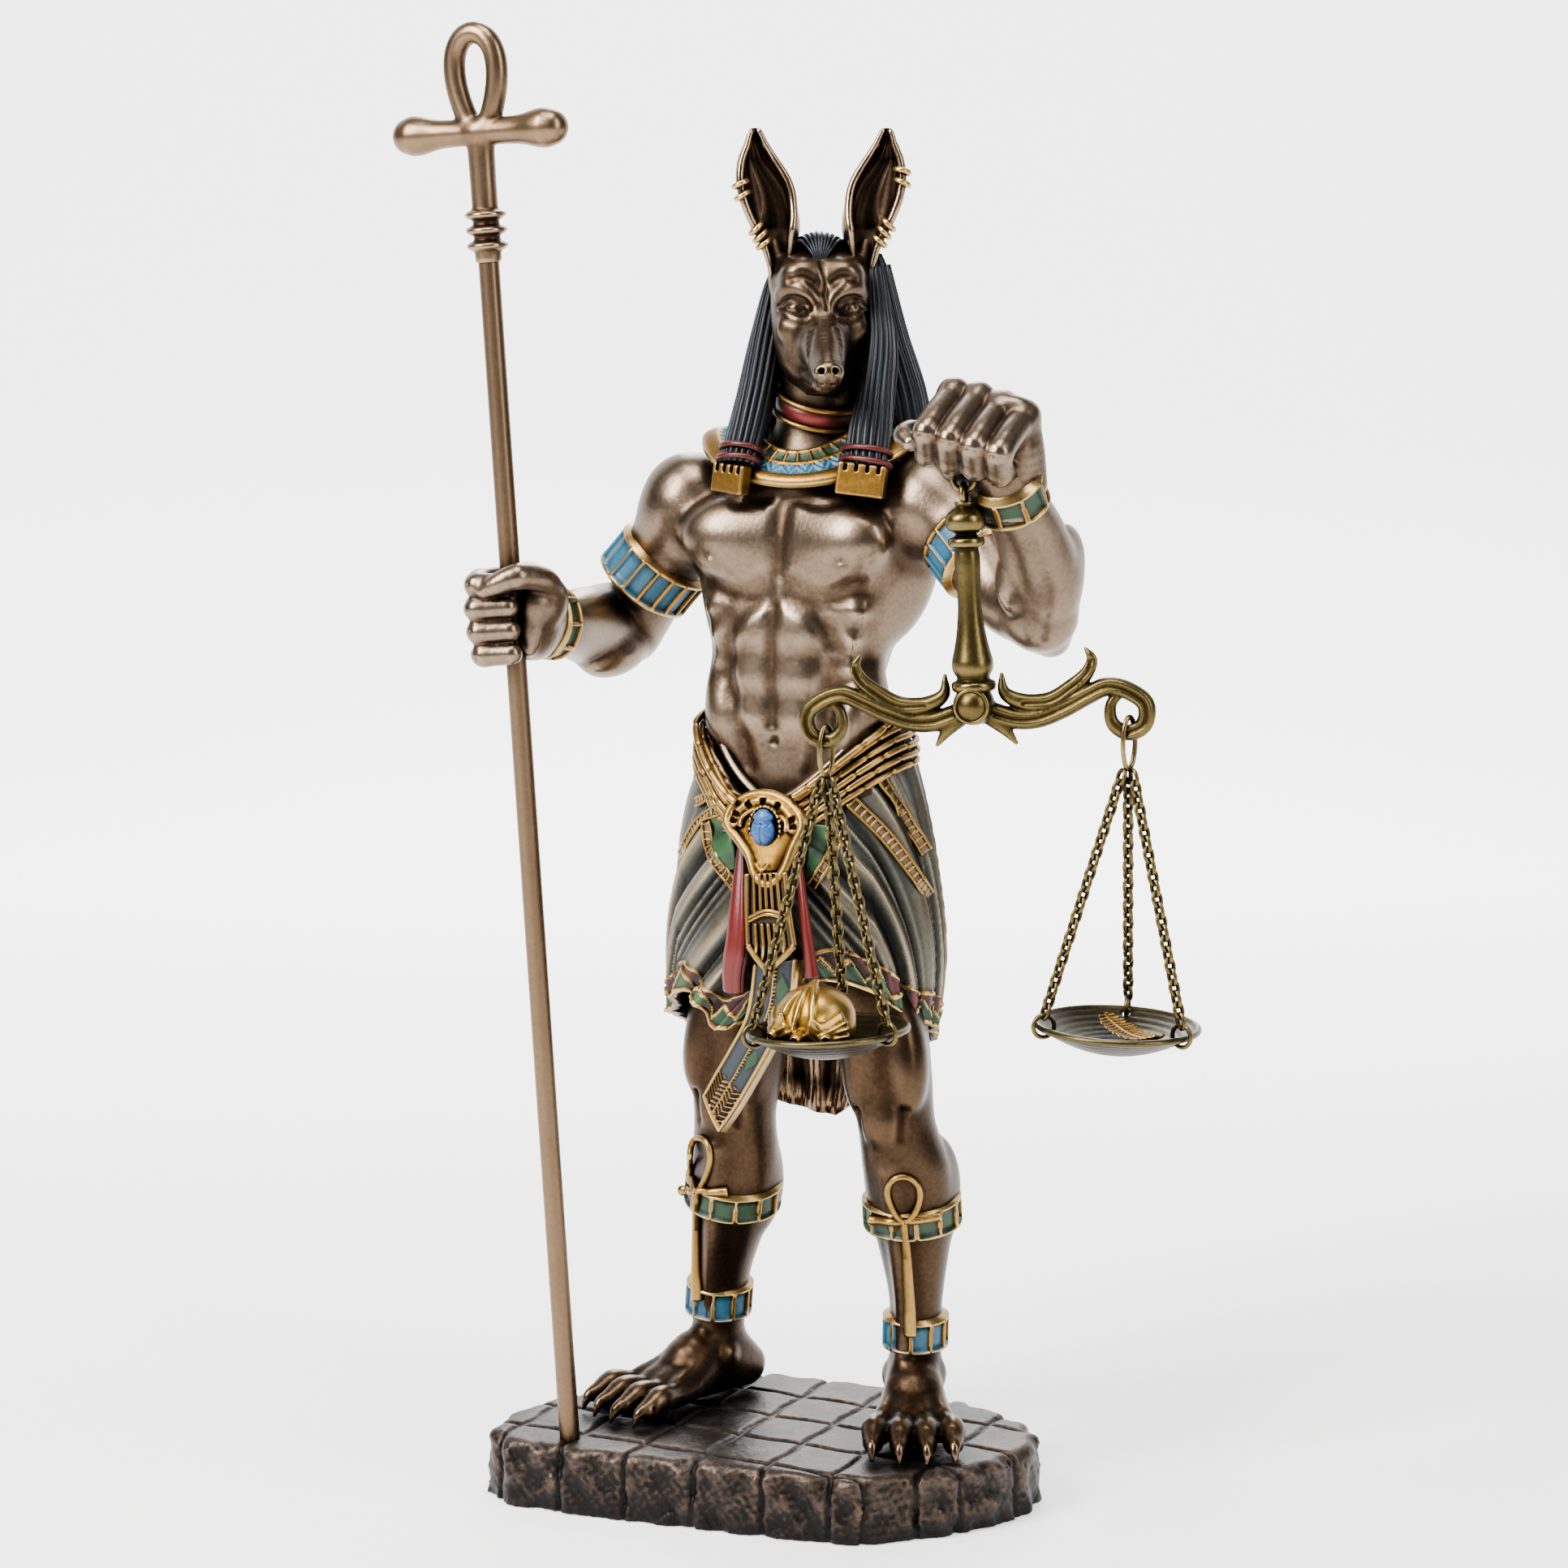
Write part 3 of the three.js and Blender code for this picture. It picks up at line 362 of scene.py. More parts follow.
def ribbon(path, across, thick, rows):
    # A flat strip: path points, half width vectors at each, and half thickness
    path, across = np.asarray(path, float), np.asarray(across, float)
    ahead = unit(np.gradient(path, axis=0))
    face = unit(np.cross(ahead, across)) * thick
    u = np.linspace(-1, 1, rows)
    top = [path + across * s + face * (1 - 0.3 * s * s) for s in u]
    bottom = [path + across * s - face * (1 - 0.3 * s * s) for s in u[::-1]]
    return closedGrid(np.stack(top + bottom, 1))


rayReach = 30  # mm outside a point where its ray starts, and as far inside where it ends


def landOn(tree, points, outward, lift, soften=3):
    # Slides points in along a direction until they meet a surface, and lifts them off it
    points = np.asarray(points, float)
    outward = np.broadcast_to(unit(outward), points.shape)
    rise, normals = [], []
    for p, o in zip(points, outward):
        place, normal, _, _ = tree.ray_cast(Vector(p + o * rayReach), Vector(-o), 2 * rayReach)
        rise.append((np.array(place) - p) @ o if place else 0)
        normals.append(np.array(normal) * np.sign(normal @ Vector(o)) if place else o)
    window = np.ones(2 * soften + 1) / (2 * soften + 1)
    even = lambda v: np.convolve(np.pad(v, soften, "edge"), window, "valid")
    normals = unit(np.stack([even(np.array(normals)[:, k]) for k in range(3)], 1))
    return points + outward * even(np.array(rise))[:, None] + normals * lift, normals


ladderForm = {"rail": 0.36, "rungPitch": 1.5, "pathStep": 0.4}


def ladder(kit, tree, line, half):
    # A gold band of two rails and rungs on a dark ground, laid on a surface as the viewer sees it
    rail, pitch, pathStep = ladderForm["rail"], ladderForm["rungPitch"], ladderForm["pathStep"]
    length = np.linalg.norm(np.diff(np.array(line), axis=0), axis=1).sum()
    count = int(length / pathStep)
    path, normals = landOn(tree, curved(line, count), toEye, 0.3)
    across = unit(np.cross(normals, np.gradient(path, axis=0)))
    kit.add(ribbon(path, across * half, 0.25, 5), 1)
    for side in (-1, 1):
        kit.add(tube(path + across * half * side + normals * 0.2, rail, 8))
    for k in range(int(length / pitch)):
        i = min(count - 1, int((k + 0.5) * pitch / pathStep))
        left, right = [path[i] + across[i] * half * side + normals[i] * 0.15 for side in (-1, 1)]
        kit.add(tube(np.linspace(left, right, 4), rail * 0.9, 6))


# Pieces
class Kit:
    # Shapes that make one piece, each with its own finish
    def __init__(self):
        self.points, self.faces, self.finish, self.total = [], [], [], 0

    def add(self, shape, finish=0):
        points, faces = shape
        a, b, c, d = [(points - points.mean(0))[faces[:, k]] for k in range(4)]
        if (a * (np.cross(b, c) + np.cross(c, d))).sum() < 0:
            faces = faces[:, ::-1]
        self.points.append(points)
        self.faces.append(faces + self.total)
        self.finish.append(np.broadcast_to(finish, (len(faces),)))
        self.total += len(points)
        return self


def reliefOf(points, faces, normals, reach):
    # How far each point stands proud of the surface round it, in mm
    pairs = np.vstack([faces[:, [0, 1]], faces[:, [1, 2]], faces[:, [2, 3]], faces[:, [3, 0]]])
    pairs = pairs[pairs[:, 0] != pairs[:, 1]]
    pairs = np.vstack([pairs, pairs[:, ::-1]])
    edge = np.median(np.linalg.norm(points[pairs[::7, 0]] - points[pairs[::7, 1]], axis=1))
    rounds = int(np.clip((reach / edge) ** 2, 3, 40))
    count = np.maximum(np.bincount(pairs[:, 0], minlength=len(points)), 1)
    soft = points.copy()
    for _ in range(rounds):
        sums = [np.bincount(pairs[:, 0], soft[pairs[:, 1], k], len(points)) for k in range(3)]
        soft = 0.5 * soft + 0.5 * np.stack(sums, 1) / count[:, None]
    return ((points - soft) * normals).sum(1)


# Share of its triangles that a dense piece keeps (the bands' share stands beside their forms)
keptShare = {
    "body": 0.45, "legs": 0.45, "paved_base": 0.4, "jackal_head": 0.75, "ears": 0.5, "wig": 0.6,
    "right_hand": 0.8, "left_hand": 0.8, "broad_collar": 0.5, "lappet_tassels": 0.5, "buckle": 0.7,
    "balance": 0.7, "gold_heart": 0.7, "bronze_feather": 0.5, "left_dish": 0.3, "right_dish": 0.3,
    "staff_head": 0.4,
}


def lighten(piece, share):
    # A collapse of edges, in which flat stretches give up their triangles first
    thin = piece.modifiers.new("thin", "DECIMATE")
    thin.ratio = share
    shown = piece.evaluated_get(bpy.context.evaluated_depsgraph_get())
    dense = piece.data
    light = bpy.data.meshes.new_from_object(shown)
    piece.modifiers.clear()
    piece.data = light
    bpy.data.meshes.remove(dense)
    light.name = piece.name


def makePiece(name, kit, finishes, origin=(0, 0, 0), replaces=(), reach=1.6):
    points = np.vstack(kit.points) + np.array(origin)
    faces = np.vstack(kit.faces)
    mesh = bpy.data.meshes.new(name)
    rows = [list(dict.fromkeys(row)) for row in faces.tolist()]
    mesh.from_pydata((points / 1000).tolist(), [], rows)
    mesh.polygons.foreach_set("material_index", np.concatenate(kit.finish).astype(np.int32))
    mesh.polygons.foreach_set("use_smooth", np.ones(len(faces), bool))
    for label in finishes:
        mesh.materials.append(finish[label])
    mesh.update()
    normals = np.zeros(len(points) * 3)
    mesh.vertices.foreach_get("normal", normals)
    proud = reliefOf(points, faces, normals.reshape(-1, 3), reach)
    relief = mesh.attributes.new("relief", "FLOAT", "POINT")
    relief.data.foreach_set("value", proud.astype(np.float32))
    piece = bpy.data.objects.new(name, mesh)
    bpy.context.scene.collection.objects.link(piece)
    if name in keptShare:
        lighten(piece, keptShare[name])
    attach(piece, "root")
    if replaces:
        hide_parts(*replaces)
    print("made", name, len(piece.data.polygons))


# Finishes
def linear(hexColour):
    # sRGB hex to the linear colour that a shader takes
    parts = [int(hexColour[i : i + 2], 16) / 255 for i in (1, 3, 5)]
    return (*[c / 12.92 if c <= 0.04045 else ((c + 0.055) / 1.055) ** 2.4 for c in parts], 1)


def addNode(tree, kind, inputs=None, **settings):
    node = tree.nodes.new("ShaderNode" + kind)
    for name, value in settings.items():
        setattr(node, name, value)
    for key, value in (inputs or {}).items():
        if isinstance(value, bpy.types.NodeSocket):
            tree.links.new(value, node.inputs[key])
        else:
            node.inputs[key].default_value = value
    return node


def agedFinish(name, look):
    # Dark patina in the creases, the finish itself on the faces, and rubbed colour along the ridges; an
    # occlusion node adds painted shade, darker in recesses, under forms and between parts
    material = bpy.data.materials.new(name)
    material.use_nodes = True
    tree = material.node_tree
    tree.nodes.clear()
    place = addNode(tree, "TexCoord").outputs["Object"]
    relief = addNode(tree, "Attribute", attribute_name="relief").outputs["Fac"]

    def noise(grainMm, detail):
        inputs = {"Vector": place, "Scale": 1000 / grainMm, "Detail": detail}
        return addNode(tree, "TexNoise", inputs).outputs["Fac"]

    def mapped(value, low, high, start=0.0, stop=1.0):
        # The run from low to high, mapped to the run from start to stop and held there beyond it
        inputs = {"Value": value, "From Min": low, "From Max": high, "To Min": start, "To Max": stop}
        return addNode(tree, "MapRange", inputs, clamp=True).outputs[0]

    def reckoned(operation, *values):
        return addNode(tree, "Math", dict(enumerate(values)), operation=operation).outputs[0]

    cloud, grit = noise(look["cloudMm"], 4), noise(look["gritMm"], 3)
    uneven = mapped(reckoned("ADD", cloud, grit), 0.7, 1.3, -look["breakMm"], look["breakMm"])
    worn = mapped(reckoned("ADD", relief, uneven), -look["creaseMm"], look["ridgeMm"])
    # Painted shade: occlusion within shadeMm pulls the colour towards the crease colour in recesses, under
    # forms and between parts
    hollow = addNode(tree, "AmbientOcclusion", {"Distance": look["shadeMm"] / 1000}, samples=6)
    kept = reckoned("MULTIPLY", worn, mapped(hollow.outputs["AO"], 0.3, 0.9))
    ramp = addNode(tree, "ValToRGB", {"Fac": kept})
    stops = ramp.color_ramp.elements
    creaseAt, faceAt, ridgeAt = 0.06, 0.34, 0.95
    stops[0].position, stops[0].color = creaseAt, linear(look["crease"])
    stops[1].position, stops[1].color = ridgeAt, linear(look["ridge"])
    stops.new(faceAt).color = linear(look["face"])
    colours = {"Fac": cloud, "Color1": ramp.outputs["Color"], "Color2": linear(look["cloud"])}
    rough = mapped(kept, 0.1, 0.8, look["creaseRough"], look["rough"])
    dents = {"Height": grit, "Strength": look["bump"], "Distance": look["gritMm"] / 4000}
    shader = addNode(tree, "BsdfPrincipled", {
        "Base Color": addNode(tree, "MixRGB", colours, blend_type="MULTIPLY").outputs["Color"],
        "Metallic": look["metallic"],
        "Roughness": reckoned("MULTIPLY_ADD", grit, look["roughGrit"], rough),
        "Normal": addNode(tree, "Bump", dents).outputs["Normal"],
    })
    out = addNode(tree, "OutputMaterial")
    tree.links.new(shader.outputs["BSDF"], out.inputs["Surface"])
    return material


plainLook = {
    "cloudMm": 14, "gritMm": 0.9, "breakMm": 0.035, "creaseMm": 0.3, "ridgeMm": 0.36, "shadeMm": 7,
    "cloud": "#BEB6AE", "metallic": 1.0, "rough": 0.18, "creaseRough": 0.42, "roughGrit": 0.07, "bump": 0.2,
}
finishLooks = {
    # Cold-cast bronze, brushed with brown patina: warm metal faces, near-black creases, rubbed ridges
    "coldCastBronze": {"crease": "#0E0906", "face": "#564536", "ridge": "#D2BBA2"},
    # The head's bronze, a shade darker, so that its brow and muzzle shine against it
    "headBronze": {
        "crease": "#0B0704", "face": "#3E3024", "ridge": "#B0967A", "ridgeMm": 0.42, "shadeMm": 4
    },
    # The same bronze painted darker towards the ground as painted shade, since light falls from above:
    # brown-black legs and feet with a warm sheen, also used as painted shade inside the kilt
    "paintedShadeBronze": {"crease": "#080503", "face": "#35261A", "ridge": "#957A60", "ridgeMm": 0.5},
    # Blue-black lacquer over the cast hair, dry-brushed: dark strands with cool silvery ridges
    "blackLacquerHair": {
        "crease": "#010102", "face": "#0A0D11", "ridge": "#343D49", "metallic": 0.6, "rough": 0.26
    },
    # Gold paint, antiqued: yellow metal with brown in the creases
    "goldPaint": {
        "crease": "#170B02", "face": "#8E6728", "ridge": "#E6C27A", "rough": 0.26, "shadeMm": 3,
        "creaseMm": 0.16
    },
    # Turquoise enamel paint, brushed: a cool blue with darker streaks
    "turquoiseEnamel": {
        "crease": "#06202C", "face": "#0F5674", "ridge": "#469FC2", "metallic": 0.1, "rough": 0.38
    },
    # Green enamel paint: deep leaf green
    "greenEnamel": {
        "crease": "#040D05", "face": "#0D3212", "ridge": "#2F6A31", "metallic": 0.15, "rough": 0.38
    },
    # Dark red enamel paint: oxblood cords and folds
    "redEnamel": {
        "crease": "#0A0101", "face": "#2A0303", "ridge": "#6E1410", "metallic": 0.3, "rough": 0.32
    },
    # Verdigris wash over bronze: a grey-green cloth with bronze showing on the folds
    "verdigrisWash": {
        "crease": "#0B0907", "face": "#454B45", "ridge": "#B9AE99", "metallic": 0.85, "rough": 0.28,
        "ridgeMm": 0.5, "cloudMm": 9, "cloud": "#B59A80", "shadeMm": 5,
    },
    # Dark patinated bronze, sponged: near-black stone paving with bronze on the high spots
    "spongedStone": {
        "crease": "#060505", "face": "#1D1815", "ridge": "#857060", "metallic": 0.8, "rough": 0.36,
        "gritMm": 1.2, "bump": 0.5, "breakMm": 0.1, "ridgeMm": 0.5,
    },
    # Satin bronze, turned and polished along its length: pale and even
    "satinBronze": {"crease": "#160F09", "face": "#6A543F", "ridge": "#AD9174", "rough": 0.25, "bump": 0.1},
    # Antique brass, cast and tumbled: greenish yellow with dark creases
    "antiqueBrass": {
        "crease": "#0A0703", "face": "#3B3119", "ridge": "#94814F", "rough": 0.24, "shadeMm": 4
    },
    # Olive-dark brass, spun: the pans
    "oliveBrass": {"crease": "#090704", "face": "#292415", "ridge": "#675D3F", "rough": 0.3, "shadeMm": 4},
    # Gold leaf over the cast heart: bright, warm and soft
    "goldLeaf": {"crease": "#3C2204", "face": "#A97E28", "ridge": "#EFCF86", "rough": 0.22, "shadeMm": 4},
    # Lapis-blue enamel on the beetle
    "lapisEnamel": {
        "crease": "#061226", "face": "#124A90", "ridge": "#4A8CCB", "metallic": 0.05, "rough": 0.26
    },
    # Slate-blue paint brushed along the cloth of the sash
    "slateWash": {
        "crease": "#050607", "face": "#1E242D", "ridge": "#5C6672", "metallic": 0.4, "rough": 0.36
    },
}
finish = {name: agedFinish(name, {**plainLook, **look}) for name, look in finishLooks.items()}
print("finishes ready", len(finish))


# Trunk and arms
def modelBody():
    clay = Clay((-60, -40, 106), (70, 26, 218), 0.55)
    clay.column([
        (-0.6, 0.6, 106, 20, 13.6), (-0.8, 0.4, 134, 19.8, 12.8), (-1, -0.2, 152, 17.6, 11.9),
        (-0.9, 0, 159, 18.8, 12.4), (0, 0.6, 168, 22.2, 13.2), (0.6, 1, 178, 24.2, 13),
        (0.8, 1.2, 187, 22.8, 12.6), (1, 2, 195, 17, 11), (1.4, 2.4, 202, 9.6, 9), (2.6, 1.4, 218, 7.8, 8),
    ])
    for s in (-1, 1):
        x = lambda out, s=s: 0.5 + s * out
        clay.blob((x(10.6), -7, 181.6), (12.6, 7, 8.8), (0, s * -8, s * -14), 4)  # chest
        clay.blob((x(17), 6.4, 178), (9, 8, 17), (0, s * 10, 0), 4)  # side of the back
        clay.blob((x(9), 8.4, 164), (6, 5.4, 16), (0, s * 4, 0), 4)  # beside the spine
        clay.blob((x(13), 9.2, 187), (8, 5, 9), (0, s * 20, 0), 4)  # shoulder blade
        for height, wide, tall in ((164, 5, 4.6), (154.8, 4.8, 4.8), (147, 4.4, 4)):  # belly
            clay.blob((-1.1 + s * 4.6, -9.6, height), (wide, 3, tall), (0, 0, s * -8), 2.8)
        clay.blob((x(14.6), -4, 146), (4.6, 7.4, 10.4), (0, s * 6, 0), 5)  # flank
        for k, height in enumerate((169.6, 164, 158.6)):  # slips of muscle over the ribs
            clay.blob((x(14.4 - 1.4 * k), -7, height), (4, 2.2, 2.2), (0, s * 30, s * -40), 3.6)
        # Hollows under the chest, along the ribs, down the flank and over the chest
        clay.mark([(x(2), 174.2), (x(8), 171.4), (x(13), 172), (x(16.4), 174)], 1.5, 0.28, 2.4)
        clay.mark([(x(2), 171), (x(7), 168.6), (x(11.4), 163), (x(13.4), 156)], 1.4, 0.22, 2.4)
        clay.mark([(x(11.4), 158), (x(10), 148), (x(6.6), 137)], 1.4, 0.4, 2)
        clay.mark([(x(3), 190.6), (x(9), 189.4), (x(16), 191.4)], 0.9, 0.3, 1.6)
        clay.blob((x(14.6), -13.7, 178.6), (0.6, 0.8, 0.6), blend=0.5)  # nipple
    # Midlines of chest and belly, the spine and the navel
    clay.mark([(0.9, 190), (0.5, 182), (0.2, 177)], 1.4, 0.4, 2.4)
    clay.mark([(-0.6, 169), (-1.2, 158), (-1, 146)], 1.1, 0.34, 1.8)
    clay.groove([(-0.4, 13.6, 188), (-0.6, 13.2, 165), (-0.8, 13.4, 145)], 0.9, 1.6)
    clay.blob((-0.6, -12.5, 142.2), (0.8, 0.9, 0.9), blend=0.9, cut=True)
    modelRightArm(clay)
    modelLeftArm(clay)
    return clay


rightArmForm = {
    "shoulder": (-25.6, -0.6, 187), "elbow": (-45.4, 9, 160.2), "wrist": (-42.7, -23.6, 164.6),
    "grip": (-43.9, -42.2, 168),
}
leftArmForm = {
    "shoulder": (26.6, 1.4, 189), "elbow": (57.6, -13.2, 170.4), "wrist": (58.6, -29.8, 194.4),
    "grip": (54, -36.8, 205),
}


def modelRightArm(clay):
    elbow, wrist = rightArmForm["elbow"], rightArmForm["wrist"]
    clay.blob(rightArmForm["shoulder"], (10, 9.8, 11.2), (0, 22, 0), 3.4)
    clay.limb([
        (-26, -0.4, 189, 8.4), (-31, 1, 181.5, 7.8), (-36.4, 3.6, 173, 7.6), (-42, 7.8, 164, 6.8),
        (*elbow, 6.6)
    ], blend=3, steps=48)
    clay.blob((-33.4, -0.8, 175.4), (5.8, 5.2, 10), (0, 38, 12), 1.8)  # front of the upper arm
    clay.blob((-37.6, 8, 173), (6.2, 5.4, 10.6), (0, 34, -8), 1.8)  # back of it
    clay.blob((-28.4, 3, 176), (3.8, 4, 7.6), (0, 34, 0), 2.4)
    clay.limb([
        (*elbow, 6.6, 7), (-47, 2, 161, 7.6, 8.4), (-46, -8, 162.6, 7, 8), (*wrist, 5, 6),
        (-43.2, -32, 166, 4.8, 6)
    ], blend=1.6, steps=64)
    clay.blob((-47, 3, 165), (6, 10, 5.4), (0, 0, -4), 1.2)  # forearm's two muscles
    clay.blob((-44, 0, 156.4), (5.6, 11, 4.8), (8, 0, 0), 1.6)
    clay.blob((-45.4, 15.6, 159), (3.6, 3, 4), blend=2.4)  # point of the elbow


def modelLeftArm(clay):
    elbow, wrist = leftArmForm["elbow"], leftArmForm["wrist"]
    clay.blob(leftArmForm["shoulder"], (10.2, 9.8, 10.6), (0, -30, 0), 3.4)
    clay.limb([
        (28, 2.4, 190, 8.4), (35, -0.8, 185, 8), (42, -4.4, 179, 7.8), (49, -8.6, 172.6, 7),
        (*elbow, 6.8)
    ], blend=3, steps=48)
    clay.blob((40, -5.4, 183), (9, 5.4, 5.6), (0, 38, -22), 1.4)  # top of the upper arm
    clay.blob((42.6, -2, 176), (10.5, 6, 5.4), (0, 38, -20), 1.6)  # underside of it
    clay.limb([
        (*elbow, 7), (59.4, -17, 178, 7.6), (59.4, -22.6, 186.4, 6.8), (*wrist, 5.9),
        (57.4, -32.4, 200, 6.1)
    ], blend=1.6, steps=64)
    clay.blob((61.6, -15, 179), (5, 6.4, 10), (-30, 0, 0), 1.4)  # forearm's two muscles
    clay.blob((55.4, -17.4, 179.6), (4.6, 6, 9.4), (-30, 0, 0), 1.4)
    clay.blob((58, -9, 165.4), (3.8, 3.8, 3.6), blend=2.4)  # point of the elbow


# Hands: every finger is one smooth limb wrapped round a grip, with knuckles and creases over its joints
def wrapPoint(grip, along, start, degrees, radius):
    along = unit(along)
    start = np.array(start, float)
    first = unit(start - (start @ along) * along)
    angle = math.radians(degrees)
    return np.array(grip) + radius * (first * math.cos(angle) + np.cross(along, first) * math.sin(angle))


def modelFinger(clay, grip, along, start, joints, thick):
    places = [wrapPoint(grip, along, start, degrees, radius) for degrees, radius in joints]
    clay.limb([(*p, thick * (1 - 0.05 * k)) for k, p in enumerate(places)], blend=0.7, steps=28)
    along = unit(along)
    for k in (1, 2):
        out = unit(places[k] - np.array(grip))
        clay.blob(places[k] + out * thick * 0.45, (thick * 0.72,) * 3, blend=1.8)
        crease = places[k] + out * thick * 1.1
        for shift in (-0.6, 0.6):
            edge = crease + np.cross(along, out) * shift
            clay.groove([edge - along * thick * 0.5, edge + along * thick * 0.5], 0.1, 0.35)


def handBack(clay, grip, form, joint, wrist, slots):
    # Bones of the back of a hand, from the wrist to each knuckle
    along = unit(form["along"])
    for slot, reach in slots:
        slotMiddle = grip + along * slot * form["pitch"]
        knuckle = wrapPoint(slotMiddle, along, form["start"], joint[0], joint[1] * reach)
        root = grip + np.array(wrist) + along * slot * form["pitch"] * 0.7
        bend = (root + knuckle) / 2 + unit(knuckle - grip) * 0.5
        clay.limb([(*root, 2.6), (*bend, 2.5), (*knuckle, form["thick"])], blend=1.6)


rightHandForm = {"along": (-0.0658, -0.0335, 1), "start": (0.3, 1, 0), "pitch": 4.6, "thick": 2.6}


def modelRightHand():
    grip = np.array(rightArmForm["grip"], float)
    form = rightHandForm
    along = unit(form["along"])
    clay = Clay(grip - (13, 14, 14), grip + (14, 24, 16), 0.4, 1.5)
    slots = ((1.5, 0.96), (0.5, 1.04), (-0.5, 1.02), (-1.5, 0.92))
    for slot, reach in slots:
        joints = [(12, 8.4 * reach), (96, 6.5 * reach), (168, 6.3 * reach), (226, 5.2)]
        modelFinger(clay, grip + along * slot * form["pitch"], along, form["start"], joints, form["thick"])
    handBack(clay, grip, form, (12, 8), (1.6, 15, -2), slots)
    by = lambda x, y, z: tuple(grip + (x, y, z))
    # Wrist and palm, then the thumb
    clay.limb([
        (*by(1.2, 20, -3.4), 4.8, 5.6), (*by(1.4, 13, -2), 4.8, 6.2), (*by(3, 6.6, -0.6), 4.6, 8.6),
        (*by(4.2, 1.6, 0), 3, 8)
    ], blend=1)
    clay.blob(by(5.6, 4.4, 2.6), (3.6, 6, 5.4), (0, 0, -10), 1)
    clay.limb([
        (*by(6.4, 6, 4), 3), (*by(7, 1, 7.4), 2.7), (*by(4.6, -4.6, 8.4), 2.6),
        (*by(1.4, -6.6, 7), 2.2), (*by(-1.4, -7, 5.6), 1.7)
    ], blend=0.6)
    clay.blob(by(4.8, -4.6, 8.4), (2.7, 2.8, 2.6), blend=0.5)
    clay.limb([(*by(-1, -0.5, -16), 2.3), (*by(1, 0.5, 16), 2.3)], blend=0.3, cut=True)  # the staff's bore
    return clay


leftHandForm = {"along": (1, 0.12, -0.26), "start": (0, 0.55, 0.8), "pitch": 4.8, "thick": 2.75}


def modelLeftHand():
    grip = np.array(leftArmForm["grip"], float)
    form = leftHandForm
    along = unit(form["along"])
    clay = Clay(grip - (17, 14, 15), grip + (14, 14, 12), 0.4, 1.5)
    slots = ((-1.5, 0.98), (-0.5, 1.05), (0.5, 1.02), (1.5, 0.94))
    for slot, reach in slots:
        joints = [(8, 8.2 * reach), (122, 7 * reach), (180, 4.4 * reach), (236, 2.6)]
        modelFinger(clay, grip + along * slot * form["pitch"], along, form["start"], joints, form["thick"])
    handBack(clay, grip, form, (8, 8), (4, 7, -7), slots)
    by = lambda x, y, z: tuple(grip + (x, y, z))
    # Wrist and palm, then the thumb
    clay.limb([
        (*by(4.6, 7, -13), 5.8, 5.4), (*by(4, 6, -8), 6.4, 5.4), (*by(2.8, 4, -2), 8.4, 5.2),
        (*by(1, 3.4, 5), 8.4, 3.4)
    ], blend=1)
    clay.blob(by(-3.6, 2.4, -3), (4.4, 4.8, 5.4), (0, 20, 0), 1)
    clay.limb([
        (*by(-3.6, 3, -5), 3), (*by(-8, 0, -1.6), 2.6), (*by(-11, -3, 1.4), 2.5),
        (*by(-11.6, -6, 1.2), 2.1), (*by(-9.4, -8, 0), 1.6)
    ], blend=0.6)
    return clay


# Legs and clawed feet: x, y, z, half width and half depth of each slice
rightLegLine = [
    (-9, 1, 118, 11, 11), (-12, -0.6, 95, 11.4, 11.8), (-14.2, -2, 72, 9.6, 10), (-14.6, -2.4, 62, 8.4, 8.8),
    (-14.9, -1.6, 54, 8.9, 8.8), (-15.8, -0.6, 46, 8.9, 8.8), (-18, 1.2, 37, 7.6, 7.8),
    (-20.4, 2.6, 27, 6, 6.6), (-21.8, 3.6, 17, 5.3, 6), (-22, 4, 9, 5.4, 6.8), (-21.6, 4.6, 3, 5, 6.4),
]
leftLegLine = [
    (10.6, 0, 118, 11, 11), (15.6, -2.6, 95, 11.2, 11.8), (21.2, -3.8, 74, 8.7, 9.2),
    (22.8, -3.6, 65, 7.8, 8.6), (24.2, -1.4, 55, 9, 9), (24, 1.2, 46, 8.9, 8.8), (23.8, 3.2, 37, 7.2, 7.6),
    (23.6, 4.6, 26, 5.4, 6), (23.2, 5.2, 16, 5.1, 5.8), (23, 5.6, 9, 5.4, 6.6), (22.6, 6.4, 3, 5, 6),
]
feet = {
    "right": {"heel": (-18.6, 10), "toward": (-0.37, -0.93), "length": 40},
    "left": {"heel": (18.8, 14), "toward": (0.42, -0.9), "length": 42.5},
}


def modelLeg(clay, line, s, knee, calf):
    clay.column(line, blend=1)
    kx, ky, kz = knee
    clay.blob((kx, ky - 6.6, kz), (4, 2.4, 4.2), (-6, 0, 0), 2.4)  # kneecap
    clay.blob((kx - s * 4.4, ky - 4.4, kz + 11), (4, 4.6, 9), (-6, s * 8, 0), 2.8)  # thigh
    clay.blob((kx + s * 4.6, ky - 4.4, kz + 13), (4, 4.8, 10), (-6, s * -8, 0), 2.8)
    for side in (-1, 1):
        clay.groove([(kx + side * 4.8, ky - 7, kz + 3), (kx + side * 4.6, ky - 7.6, kz - 3)], 0.4, 1.6)
    cx, cy, cz = calf
    clay.blob((cx + s * 3, cy + 4.4, cz), (5.6, 6, 12), (6, s * 4, 0), 2)  # calf
    clay.blob((cx - s * 3, cy + 4, cz - 2), (5.4, 6, 11), (6, s * -4, 0), 2)


